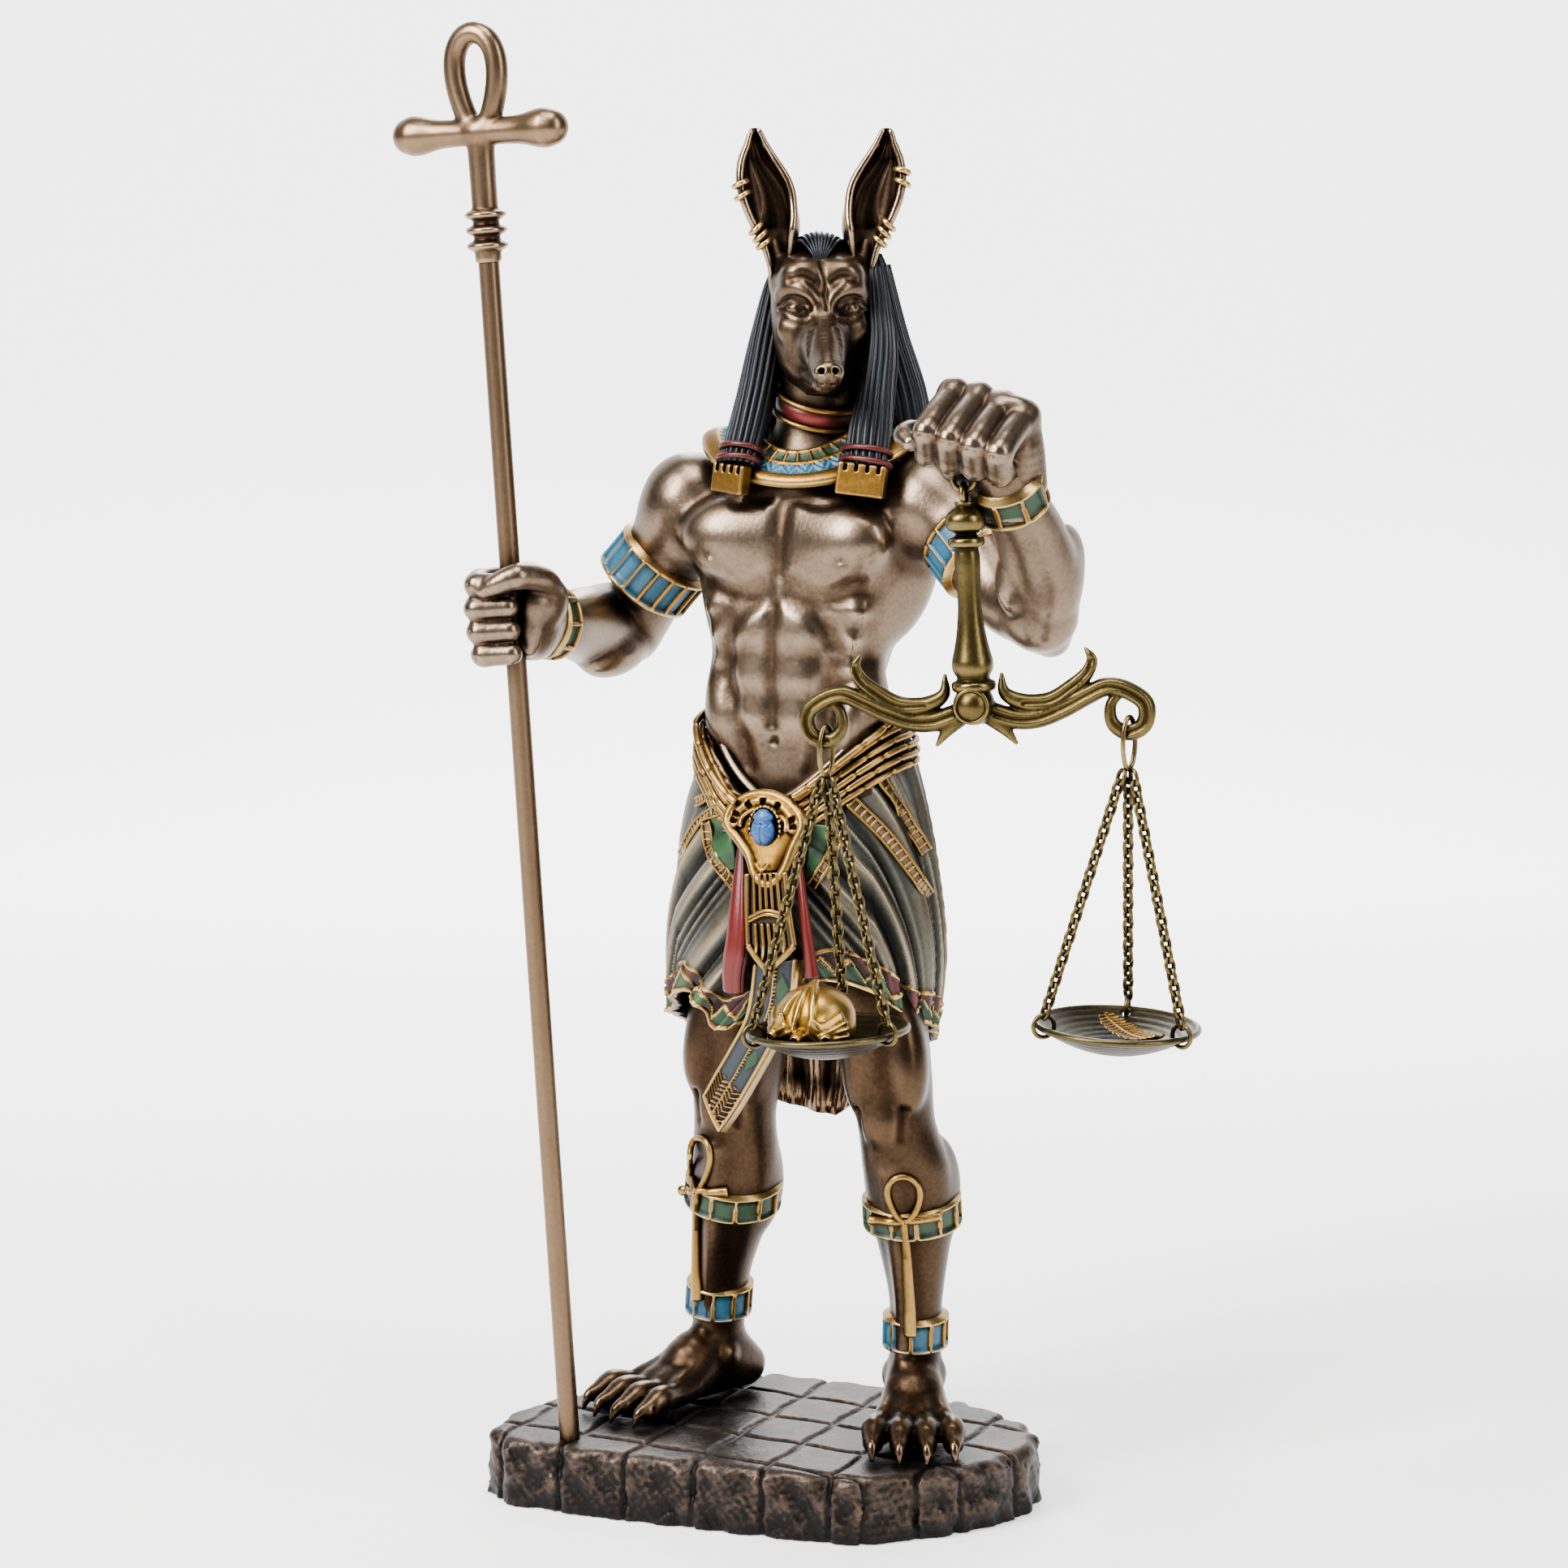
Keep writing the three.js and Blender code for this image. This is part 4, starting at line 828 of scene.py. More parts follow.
def modelFoot(clay, form):
    heel, toward, length = np.array(form["heel"]), unit(form["toward"]), form["length"]
    left = np.array([-toward[1], toward[0]])
    at = lambda ahead, aside, z: (*(heel + toward * ahead + left * aside), z)
    clay.limb([
        (*at(0, 0, 4.6), 4, 4.6), (*at(6, 0, 7), 5.4, 7), (*at(14, 0, 7.4), 6, 7.4),
        (*at(length * 0.46, 0, 5.4), 7.2, 5.2), (*at(length * 0.6, 0, 3.8), 8.4, 3.8),
    ], side=(*left, 0), blend=1.6)
    for s in (-1, 1):
        clay.blob(at(9, s * 4.6, 9.6), (1.8, 2, 2.2), blend=2)  # ankle bone
    for slot in (-1.5, -0.5, 0.5, 1.5):  # for each toe: tendon, toe, pad, claw, and a groove behind it
        reach = length - abs(slot) * 1.6
        clay.limb([
            (*at(13, slot * 2, 11.6), 1.2), (*at(length * 0.44, slot * 3, 8.8), 1.1),
            (*at(length * 0.6, slot * 4, 6.4), 1.3)
        ], blend=1.4)
        clay.limb([
            (*at(length * 0.5, slot * 3.4, 4.6), 2.5), (*at(length * 0.66, slot * 4.6, 4.6), 2.3),
            (*at(reach * 0.8, slot * 5.2, 5), 2.6), (*at(reach * 0.9, slot * 5.4, 3.2), 2.1),
        ], blend=0.7)
        clay.limb(
            [(*at(reach * 0.8, slot * 5.2, 4.4), 2.5), (*at(reach * 0.84, slot * 5.3, 2.2), 2)], blend=0.8
        )
        clay.limb([
            (*at(reach * 0.89, slot * 5.4, 4), 1.7), (*at(reach * 0.96, slot * 5.5, 3.2), 1.2),
            (*at(reach * 1.0, slot * 5.5, 0.6), 0.4),
        ], blend=0.3)
        clay.groove([
            at(reach * 0.885, slot * 5.4 - 2, 3.6), at(reach * 0.875, slot * 5.4, 5.8),
            at(reach * 0.885, slot * 5.4 + 2, 3.6)
        ], 0.25, 0.3)


def modelLegs():
    clay = Clay((-44, -42, -0.6), (50, 24, 119), 0.6)
    modelLeg(clay, rightLegLine, -1, (-14.6, -2.6, 65), (-15.4, -0.8, 49))
    modelLeg(clay, leftLegLine, 1, (22.8, -3.8, 66), (24.1, 0.6, 49))
    # Shin bones
    clay.limb(
        [(-15.2, -9.4, 56, 2), (-17.6, -6.6, 38, 1.8), (-21, -1.6, 20, 1.6), (-21.8, -1.6, 12, 1.8)],
        blend=2.4
    )
    clay.limb(
        [(24.2, -9, 56, 2), (24, -4.4, 38, 1.8), (23.6, -0.6, 20, 1.6), (23.4, -0.4, 12, 1.8)], blend=2.4
    )
    for form in feet.values():
        modelFoot(clay, form)
    # Everything below the soles' plane is cut off flat
    belowSoles = lambda x, y, z: z + 0 * x + 0 * y - 0.1
    clay.work(belowSoles, (-44, -42, -3), (50, 24, 1), 0, True)
    return clay


# Head: a jackal's, in its own frame with the snout towards -Y
headForm = {"middle": 0.4}
# Lids, the folds above and below them, and the eye's inner corner, with x counted out from the middle
headMarks = (
    ([(2.4, -4.3), (3.4, -2.4), (5.2, -1.5), (7.2, -2), (8.6, -3.2)], 0.32, -0.26, 0.2),
    ([(2.4, -4.3), (3.9, -4.8), (5.8, -4.5), (7.4, -3.9), (8.6, -3.2)], 0.26, -0.18, 0.2),
    ([(2.6, -2.2), (3.6, -1), (5.4, -0.4), (7.4, -1), (8.6, -2.2)], 0.28, 0.26, 0.35),
    ([(3, -5.4), (4.2, -5.8), (6.4, -5.5), (7.8, -4.7)], 0.28, 0.16, 0.5),
    ([(2.4, -4.2), (1.6, -5.8)], 0.32, 0.3, 0.4),
)


def modelHead():
    clay = Clay((-13, -30, -28), (14, 14, 13), 0.3, 1.6)
    m = headForm["middle"]
    clay.column([
        (m, -4, -19.8, 3, 5), (m, -3.4, -17.6, 6, 7), (m, -2.6, -15.2, 8, 8), (m, -1.8, -12.2, 8.9, 8.8),
        (m, -1.2, -9, 9.6, 9.3), (m, -0.6, -4, 10, 9.9), (m, 0, 0, 9.9, 9.8), (m, 0.4, 4, 9.2, 9),
        (m, 1, 7, 7, 7.2), (m, 1.4, 9.2, 3.4, 4),
    ])
    # Muzzle, the bridge of the nose and the lower jaw
    clay.limb([
        (m, -6, -7.4, 5.4, 5.4), (m + 0.1, -13, -10.4, 4.6, 4.9), (m + 0.2, -19, -13.2, 3.6, 3.7),
        (m + 0.3, -24, -15.2, 3, 2.7)
    ], blend=3.4)
    clay.limb([
        (m + 0.2, -8.6, -4.4, 2.1), (m + 0.3, -13, -8.2, 2.1), (m + 0.4, -20, -12.3, 2),
        (m + 0.3, -24.4, -14, 1.9)
    ], blend=1.4)
    clay.limb([(m, -4, -15.4, 6, 3.4), (m, -12, -16.6, 4, 2), (m - 0.2, -20.5, -17.4, 2.4, 1.4)], blend=1.6)
    for s in (-1, 1):
        x = lambda out, s=s: m + s * out
        clay.blob((x(4.2), -5.6, 3.8), (4, 3.8, 3.2), blend=2.6)  # forehead
        # Brow, eye socket, cheek, root of the ear and eyeball
        clay.limb([
            (x(1.1), -9.8, -3.2, 0.9), (x(2.3), -9.9, -0.6, 1.1), (x(4.4), -9, 0.9, 1.2),
            (x(6.8), -6.9, 0.9, 1), (x(8.2), -4.6, -0.2, 0.5)
        ], blend=2)
        clay.blob((x(5.3), -10, -2.8), (3, 1.7, 1.7), (0, s * 8, s * 24), 1.2, cut=True)
        clay.blob((x(6.4), -7, -7), (2.2, 1.6, 2.2), blend=2.6)
        clay.limb([(x(7.4), 1.4, 2.6, 2.6), (x(8.6), 2.6, 6.4, 2.2), (x(9.4), 4, 10.6, 1.4)], blend=2.4)
        clay.blob((x(5.2), -7.2, -2.9), (2.1, 1.9, 1.45), (0, s * 8, s * 24), 0.12)
        for line, radius, depth, blend in headMarks:
            clay.mark([(x(out), z) for out, z in line], radius, depth, blend)
        clay.blob((x(5) + 0.1, -9.2, -2.9), (0.5, 0.5, 0.5), blend=0.15, cut=True)  # pupil
        clay.mark([(x(6.4), 2.8), (x(3.8), 3.6), (x(2), 2.4)], 0.7, 0.18, 1)
        clay.mark([(x(2.4), -7), (x(3), -9.8), (x(3.3), -12)], 0.6, 0.16, 1)
        lips = clay.cling(
            [(x(1), -26.4, -17.2), (x(2.4), -23, -17), (x(3.8), -18, -16), (x(5.4), -13, -14.6)], 0
        )
        clay.groove(lips, 0.28, 0.4)
    clay.blob((m + 0.3, -25.2, -14.6), (3.1, 2.3, 2.3), (12, 0, 0), 0.5)  # nose
    for s in (-1, 1):
        clay.blob((m + 0.3 + s * 1.5, -27.2, -14.3), (0.72, 1.5, 0.62), (0, s * 20, s * 20), 0.3, cut=True)
    clay.groove([(m + 0.3, -27.8, -15.4), (m + 0.2, -26.6, -17.4)], 0.3, 0.4)
    clay.mark([(m - 0.4, 6.2), (m + 0.3, 2.4), (m + 0.5, -1), (m + 0.7, -3)], 0.36, 0.36, 0.5)
    clay.column([(m - 1.2, 3, -28, 7.8, 8), (m, 3, -14, 8, 8.4)], blend=2)  # neck
    return clay


earForm = {
    # Height above the skull's middle, the opening's middle and half width, and the back's swell past it
    "stations": [
        (2.6, 9, 1, 2.6), (6.7, 9.3, 1.8, 2.4), (10.2, 9.6, 2.9, 1.8), (15, 10.2, 4.9, 1.22),
        (21.4, 11.35, 5.6, 1.05), (26.2, 12.4, 4.1, 1), (29.6, 12.8, 2.3, 1), (31.6, 13, 1.2, 1),
        (32.3, 13, 0.5, 1),
    ],
    "depth": 4.6, "wall": 1.5, "rim": 0.62, "turn": 16,
}


def earShape(s):
    # One ear: a cupped leaf with hairs cut into its hollow, and the lines of its two rims
    form = earForm
    stations = np.array(form["stations"])
    rows, half = 120, 48
    z = np.linspace(stations[0, 0], stations[-1, 0], rows)
    centre, wide, swell = [eased(stations[:, 0], stations[:, k], z)[:, None] for k in (1, 2, 3)]
    wide = np.maximum(wide, 0.15)
    deep = form["depth"] * np.clip(wide / 4, 0.06, 1) ** 0.7
    t = np.linspace(0, 1, half)[None, :]
    w = np.clip((t - 0.5) * 2, 0, 1)
    back = np.pi / 2 + np.minimum(np.arccos(1 / np.maximum(swell, 1)), 0.8)
    x = np.where(t < 0.5, np.cos(np.pi * t), -swell * np.sin(w * back)) * wide
    y = np.where(t < 0.5, np.sin(np.pi * t), np.cos(w * back)) * deep
    slope = np.stack([np.gradient(x, axis=1), np.gradient(y, axis=1)], 2)
    out = unit(np.stack([slope[:, :, 1], -slope[:, :, 0]], 2))
    wall = np.minimum(form["wall"], wide * 0.5 + 0.12)
    v = np.linspace(0, 1, rows)[:, None]
    fan = (t - 0.5) * 26 * (1 - 0.5 * v) + 3 * np.sin(v * 5 + t * 4)
    hairs = 0.16 * np.abs(np.sin(fan)) * np.sin(np.pi * t) ** 0.5
    inner = np.stack([x, y], 2) - out * (wall - hairs)[:, :, None]
    ring = np.concatenate([np.stack([x, y], 2), inner[:, ::-1]], 1)
    spin = math.radians(form["turn"])
    across = ring[:, :, 0] * math.cos(spin) + ring[:, :, 1] * math.sin(spin)
    ahead = -ring[:, :, 0] * math.sin(spin) + ring[:, :, 1] * math.cos(spin)
    lean = -0.4 + 1.4 * v
    points = np.stack([s * (centre + across), lean + ahead, z[:, None] + 0 * across], 2)
    outerRim = (points[:, 0] + points[:, -1]) / 2
    innerRim = (points[:, half - 1] + points[:, half]) / 2
    return points, outerRim, innerRim


# Heights of the small rings along each ear's outer rim, -1 for the right ear
earRings = {-1: (21.4, 19, 12.6, 11, 9.7), 1: (23.8, 21.6, 13.4, 11.8, 10.2)}


def addHead():
    points, faces = modelHead().surface()
    makePiece(
        "jackal_head", Kit().add((fromHead(points), faces)), ["headBronze"],
        figurePlace, reach=1.1
    )
    ears, rings = Kit(), Kit()
    aside = (headForm["middle"], 0, 0)
    for s in (-1, 1):
        shape, outerRim, innerRim = earShape(s)
        points, faces = closedGrid(shape)
        ears.add((fromHead(points + aside), faces))
        for rim in (outerRim, innerRim):
            path = rim[1:-1:3]
            size = earForm["rim"] * (0.5 + 0.5 * np.sin(np.linspace(0.2, math.pi - 0.2, len(path))))
            points, faces = tube(path, size * 1.4, 10)
            ears.add((fromHead(points + aside), faces))
        for height in earRings[s]:
            k = int(np.argmin(np.abs(outerRim[:, 2] - height)))
            along = unit(unit(outerRim[k + 3] - outerRim[k - 3]) + (s * 0.35, 0, 0))
            first = unit(np.cross(along, (0, 1, 0)))
            points, faces = wireLoop(outerRim[k], 1.4, 1.5, first, np.cross(along, first), 0.6, 24)
            rings.add((fromHead(points + aside), faces))
    makePiece("ears", ears, ["headBronze"], figurePlace)
    makePiece("ear_rings", rings, ["goldPaint"], figurePlace)


# Wig: strands drawn along a fall of hair, with sharp grooves between them
def strandFall(stations, strands, lengthSteps=60):
    path = curved(np.array(stations, float), lengthSteps)
    groove, count = wigForm["strandGroove"], strands * 8
    rings, out = bandAround(path, (1, 0, 0), count)
    turn = np.arange(count) / count * strands
    shape = -(1 - np.abs(np.sin(turn * math.pi))) ** 2 * groove
    fine = -(1 - np.abs(np.sin(turn * math.pi * 3))) ** 2 * groove * 0.22
    noise = np.random.default_rng(strands)
    each = noise.uniform(-0.3, 0.3, strands)[(turn.astype(int)) % strands] * groove
    return closedGrid(rings + out * (shape + fine + each)[None, :, None])


wigForm = {
    "strandGroove": 0.6, "backStrands": 40, "lappetStrands": 15, "capStrands": 40,
    # The hair behind the ears, between the lappets and the back: x, y, z, half width, half depth
    "sideFalls": [
        [
            (-5, 7, 237, 2.4, 3.6), (-7.4, 6.6, 222, 3.4, 5), (-10.2, 7.4, 209, 3.9, 6),
            (-11.4, 8.4, 201.6, 4, 5)
        ],
        [(12.2, 8, 236, 2.4, 3.6), (15, 8.6, 222, 3.2, 5), (18, 9.4, 210, 4, 5.6), (19, 10, 201.6, 4, 5)],
    ],
}
lappetLines = {
    "right": [
        (-6.6, 5.4, 238, 0.5, 1.4), (-7.6, 5, 233.4, 2.4, 4), (-7.8, -1, 221, 3.4, 4.4),
        (-7, -8, 209.6, 3.8, 3.8), (-7.5, -14.6, 197.4, 4.1, 2.4)
    ],
    "left": [
        (12.4, 8, 238.6, 0.5, 1.4), (13, 7.4, 235, 1.5, 3.6), (15, 4.8, 225, 2.3, 4.6),
        (16.9, 0.8, 218.6, 2.8, 4.5), (17.7, -2.4, 213.6, 3.2, 4.2),
        (18.3, -7.2, 205, 4.4, 3.4), (18.8, -10.8, 197.4, 4.9, 2.4),
    ],
}
tasselForm = {
    "right": {"centre": (-8.1, -16, 194.6), "half": (4, 1.5, 2.9), "turn": (-6, 4, -14)},
    "left": {"centre": (18.9, -12.4, 195), "half": (4.9, 1.5, 3.2), "turn": (-6, 6, 12)},
}


def addWig():
    kit = Kit()
    form = wigForm
    back = [
        (5.4, 6, 236, 8.4, 5), (4.4, 10.6, 225, 11.8, 6.4), (3, 14.2, 211, 17.4, 6.8),
        (3.4, 16.2, 196, 19.2, 4.6)
    ]
    kit.add(strandFall(back, form["backStrands"]))
    cap = [
        (4.4, 7, 222, 9.8, 8), (4.4, 7.4, 230, 10, 8.2), (4.4, 8.4, 235.4, 8.4, 6.8),
        (4.6, 9, 238.8, 5.6, 4.6), (4.7, 9.2, 240.4, 1.6, 1.4)
    ]
    kit.add(strandFall(cap, form["capStrands"], lengthSteps=30))
    for line in (*lappetLines.values(), *form["sideFalls"]):
        kit.add(strandFall(line, form["lappetStrands"]))
    makePiece("wig", kit, ["blackLacquerHair"], figurePlace, reach=1.1)
    # Locks that fan out over the brow and run back between the ears
    tuft = Kit()
    for k, share in enumerate(np.linspace(-1, 1, 19)):
        low = 0.5 * (k % 2)
        line = [
            (-0.2 + share * 0.4, -7 + low * 0.4, 5.6),
            (share * 2, -6.6 + abs(share) * 0.8, 9 - 0.6 * share**2 - low),
            (share * 3.8, -4 + abs(share) * 1.4, 11.6 - 1.4 * share**2 - low),
            (share * 5.4, 1.4, 11.4 - 1.8 * share**2 - low),
            (share * 6.6, 7, 8.6 - 1.6 * share**2), (share * 6.8, 11, 4),
        ]
        size = np.interp(np.linspace(0, 1, 30), [0, 0.25, 1], [0.12, 0.3, 0.5])
        points, faces = tube(curved(line, 30), size, 8)
        tuft.add((fromHead(points), faces))
    makePiece("hair_tuft", tuft, ["blackLacquerHair"], figurePlace, reach=0.8)
    addLappetTies()


def addLappetTies():
    ties, tassels = Kit(), Kit()
    for label, line in lappetLines.items():
        path = curved(np.array(line, float), 60)
        for height, tilt in ((200.4, 0.5), (198, 0.8)):
            k = int(np.argmin(np.abs(path[:, 2] - height)))
            ring, out = bandAround(path[k - 1 : k + 2], (1, 0, 0), 48)
            wave = ring[1] + out[1] * 0.25
            wave[:, 2] += (wave[:, 0] - path[k, 0]) * (0.06 if label == "right" else -0.16) * tilt
            ties.add(tube(wave, 0.62, 8, closed=True))
        form = tasselForm[label]
        centre, half = np.array(form["centre"]), np.array(form["half"])
        clay = Clay(centre - 8, centre + 8, 0.22, 1)
        clay.brick(centre, half, form["turn"], 0.5)
        for k in range(4):
            slot = turned([((k - 1.5) * half[0] * 0.46, -half[1], half[2] - 0.4)], form["turn"])[0] + centre
            clay.brick(slot, (0.36, 1, 1.3), form["turn"], 0.2, blend=0.2, cut=True)
        tassels.add(clay.surface())
    makePiece("lappet_ties", ties, ["redEnamel"], figurePlace, reach=0.8)
    makePiece("lappet_tassels", tassels, ["goldPaint"], figurePlace, reach=0.8)


# Collar and choker
collarForm = {
    "rims": [
        (10, 10.6, 204.6, -4.6), (14.6, 12.9, 204.4, -6.8), (19.2, 14.8, 203.4, -8), (23.4, 16.3, 202, -8)
    ],
    "panels": 30, "zigzags": 30, "thick": 0.7,
    # Where the rings start and stop, and the roll's start and width, as shares of the collar's width
    "greenRing": (0.07, 0.3), "blueRing": (0.36, 0.64), "roll": (0.66, 0.34),
}


def addCollar():
    form = collarForm
    across, around = 40, 480
    t = np.linspace(0, 1, across)
    rims = np.array(form["rims"], float)
    wide, deep, z, dip = [eased(np.linspace(0, 1, len(rims)), rims[:, k], t)[:, None] for k in range(4)]
    angle = fullTurn(around)[None, :]
    front = np.maximum(0, np.cos(angle - 0.12))
    top = np.stack([1.2 + wide * np.sin(angle), 1.2 - deep * np.cos(angle), z + dip * front**1.5], 2)
    share = np.broadcast_to(t[:, None], (across, around))
    turn = angle / (2 * math.pi)
    panel = np.abs((turn * form["panels"]) % 1 - 0.5) * 2
    zig = np.abs((turn * form["zigzags"]) % 1 - 0.5) * 2
    kinds = np.zeros((across, around), int)
    rise = 0.25 * np.ones((across, around))
    (greenFrom, greenTo), (blueFrom, blueTo) = form["greenRing"], form["blueRing"]
    green = (share > greenFrom) & (share < greenTo) & (panel < 0.8)
    blue = (share > blueFrom) & (share < blueTo)
    wave = (share - blueFrom) / (blueTo - blueFrom)
    strokes = np.abs(np.sin((wave * 1.5 + zig * 1.1) * math.pi)) ** 0.6
    kinds[green], kinds[blue] = 1, 2
    rise[green] = -0.1
    rise = np.where(blue, strokes * 0.6 - 0.35, rise)
    rollFrom, rollWide = form["roll"]
    roll = np.clip((share - rollFrom) / rollWide, 0, 1)
    rise = rise + 0.5 * (share > 0.67) * np.sin(roll * math.pi) ** 0.5
    top = top + rise[:, :, None] * np.array([0, -0.3, 0.95])
    under = top[::-1].copy()
    under[:, :, 2] -= form["thick"] * 1.6
    ring = np.concatenate([top, under], 0)
    rows = ring.shape[0]
    every = np.zeros((rows, around), int)
    every[:across] = kinds
    kit = Kit().add((ring.reshape(-1, 3), gridFaces(rows, around, True)), every.ravel())
    finishes = ["goldPaint", "greenEnamel", "turquoiseEnamel"]
    makePiece("broad_collar", kit, finishes, figurePlace, reach=0.8)
    choker, cords = Kit(), Kit()
    low, high = np.array([2.2, 1.8, 206.4]), np.array([3.2, 1.2, 210])
    swells = ((0, -0.4), (0.1, 0.2), (0.5, 0.4), (0.9, 0.2), (1, -0.4))
    stations = [(*(low + (high - low) * s), 8.4 + w, 8.6 + w) for s, w in swells]
    rings, _ = bandAround(stations, (1, 0, 0), 96)
    choker.add(closedGrid(rings))
    for share in (-0.02, 1.02):
        beside = [(*(low + (high - low) * (share + d)), 8.8, 9) for d in (-0.1, 0, 0.1)]
        ring, _ = bandAround(beside, (1, 0, 0), 120)
        cords.add(tube(ring[1], 0.5, 10, closed=True))
    makePiece("choker", choker, ["redEnamel"], figurePlace)
    makePiece("choker_cords", cords, ["goldPaint"], figurePlace, reach=0.6)


# Bands on the limbs: enamel panels in raised gold frames
bandForms = {
    "armlet_right": {
        "ends": [(-33.2, 4.5, 177.2), (-39.6, 3.7, 169.8)], "half": (9.4, 11.6), "panels": 18,
        "enamel": "turquoise",
    },
    "armlet_left": {
        "ends": [(35.4, -1.2, 184.2), (42.2, -4.6, 178.6)], "half": (8.4, 8.6), "panels": 16,
        "enamel": "turquoise", "side": (0, 1, 0),
    },
    "bracelet_right": {
        "ends": [(-43.2, -25, 164.9), (-43.1, -30.4, 165.8)], "half": (5.6, 6.8), "panels": 8,
        "enamel": "green",
    },
    "bracelet_left": {
        "ends": [(58.5, -28.2, 192.2), (58.3, -32.6, 197.8)], "half": (6.5, 6.3), "panels": 8,
        "enamel": "green",
    },
    "calf_band_right": {
        "ends": [(-15.5, -1, 48.6), (-16.7, 0.2, 42.4)], "half": (9.4, 9.6), "panels": 12,
        "enamel": "green",
    },
    "calf_band_left": {
        "ends": [(24, 1.2, 48.8), (23.9, 2.3, 42.2)], "half": (9.4, 9.5), "panels": 12, "enamel": "green",
    },
    "anklet_right": {
        "ends": [(-21, 2.9, 24.8), (-21.9, 3.6, 17.4)], "half": (6.2, 6.8), "panels": 10,
        "enamel": "turquoise",
    },
    "anklet_left": {
        "ends": [(23.5, 4.8, 23), (23.2, 5.2, 15.6)], "half": (6, 6.6), "panels": 10,
        "enamel": "turquoise",
    },
}
keptShare.update(dict.fromkeys(bandForms, 0.45))
# Shares of a band's height or of a panel, and how far each part stands proud in mm
bandFrame = {"lip": 0.05, "rail": 0.17, "bar": 0.82, "goldRise": 0.75, "enamelRise": 0.1, "lipRise": -0.6}
bandShapes = {}  # the leg bands, on which the shin ankhs lie too


def addBands():
    rows, around = 30, 288
    for name, form in bandForms.items():
        a, b = np.array(form["ends"], float)
        t = np.linspace(0, 1, rows)
        wide, deep = form["half"]
        side = form.get("side", (1, 0, 0))
        rings, out = bandAround([(*(a + (b - a) * s), wide, deep) for s in t], side, around)
        share = np.broadcast_to(t[:, None], (rows, around))
        turn = np.arange(around) / around * form["panels"]
        slant = 0.05 * (share - 0.5) * np.where(turn.astype(int) % 2, 1, -1)
        bar = np.abs((turn + slant) % 1 - 0.5) * 2
        lip, rail = bandFrame["lip"], bandFrame["rail"]
        frameLine = (share < rail) | (share > 1 - rail) | (bar > bandFrame["bar"])
        rise = np.where(frameLine, bandFrame["goldRise"], bandFrame["enamelRise"])
        rise = np.where((share < lip) | (share > 1 - lip), bandFrame["lipRise"], rise)
        rings = rings + out * rise[:, :, None]
        kinds = np.where(frameLine, 0, 1)
        points, faces = closedGrid(rings)
        faceKinds = np.zeros(len(faces), int)
        faceKinds[: (rows - 1) * around] = kinds[:-1].ravel()
        kit = Kit().add((points, faces), faceKinds)
        if "calf" in name or "anklet" in name:
            bandShapes[name] = (points, faces)
        finishes = ["goldPaint", form["enamel"] + "Enamel"]
        makePiece(name, kit, finishes, figurePlace, reach=0.7)


# Kilt: folded cloth hung from a rolled belt
kiltForm = {
    "waist": (19.4, 15.2, 147), "spread": (9.4, 7), "fall": 45, "thick": 1.1, "folds": 26, "foldDepth": 1.2,
    # Bearing from the front in degrees, and height of the hem there
    "hem": [
        (-180, 58), (-150, 61), (-120, 70), (-92, 80), (-64, 84), (-38, 90), (-16, 84), (4, 88), (28, 95.5),
        (50, 93), (72, 86.5), (95, 84), (130, 74), (180, 58),
    ],
    "border": 6.2, "zigzags": 27, "frontTop": 129.5,
}


def kiltTop(angle):
    # The belt's upper edge: a V at the front that rises to the hips
    rise = np.where(np.cos(angle) > 0, np.abs(np.sin(angle)) ** 1.5, 1)
    return kiltForm["frontTop"] + 17.5 * rise + 1.5 * np.maximum(0, -np.cos(angle))


def kiltSurface(angle, level):
    # A point of the cloth by its bearing from the front and its share of the height above the hem
    form = kiltForm
    wide, deep, height = form["waist"]
    hemLine = np.array(form["hem"])
    bearing = (np.degrees(angle) + 180) % 360 - 180
    hem = eased(hemLine[:, 0], hemLine[:, 1], bearing)
    z = hem + (kiltTop(angle) - hem) * level
    # The cloth flares from the waist, and draws in again where it trails past its fall
    drop = np.maximum(0, height - z) / form["fall"]
    trail = np.logaddexp(0, 9 * (drop - 1.1)) / 9
    flare = np.maximum(drop - trail, 0) ** 0.7 - 0.45 * trail
    # Folds run from the buckle outwards and down, and hang straight behind
    turnAway = np.abs(np.radians(bearing))
    slant = np.clip(1.9 - turnAway, 0, 1)  # none behind the hips
    phase = form["folds"] * (turnAway + slant * (z - 128) / 30) + 1.6 * np.sin(turnAway * 3 + z * 0.06)
    # Broad folds of changing width, with narrow creases between them
    broad = np.sin(phase * 0.55 + 1.1 * np.sin(phase * 0.21 + z * 0.04))
    fine = (1 - np.abs(np.sin(phase * 0.93 + 1.3 * np.sin(phase * 0.17)))) ** 1.6
    crest = 0.75 * broad + 0.7 * fine * (0.5 + 0.5 * np.sin(phase * 0.37 + 2))
    swell = form["foldDepth"] * crest * np.clip(drop * 1.6, 0, 1)
    lean = np.maximum(0, np.sin(angle)) * 0.6
    return np.stack([
        0.2 + (wide + form["spread"][0] * flare + swell + lean) * np.sin(angle) - 3.4 * trail,
        0.4 - (deep + form["spread"][1] * flare + swell) * np.cos(angle),
        z + 0 * angle,
    ], -1)


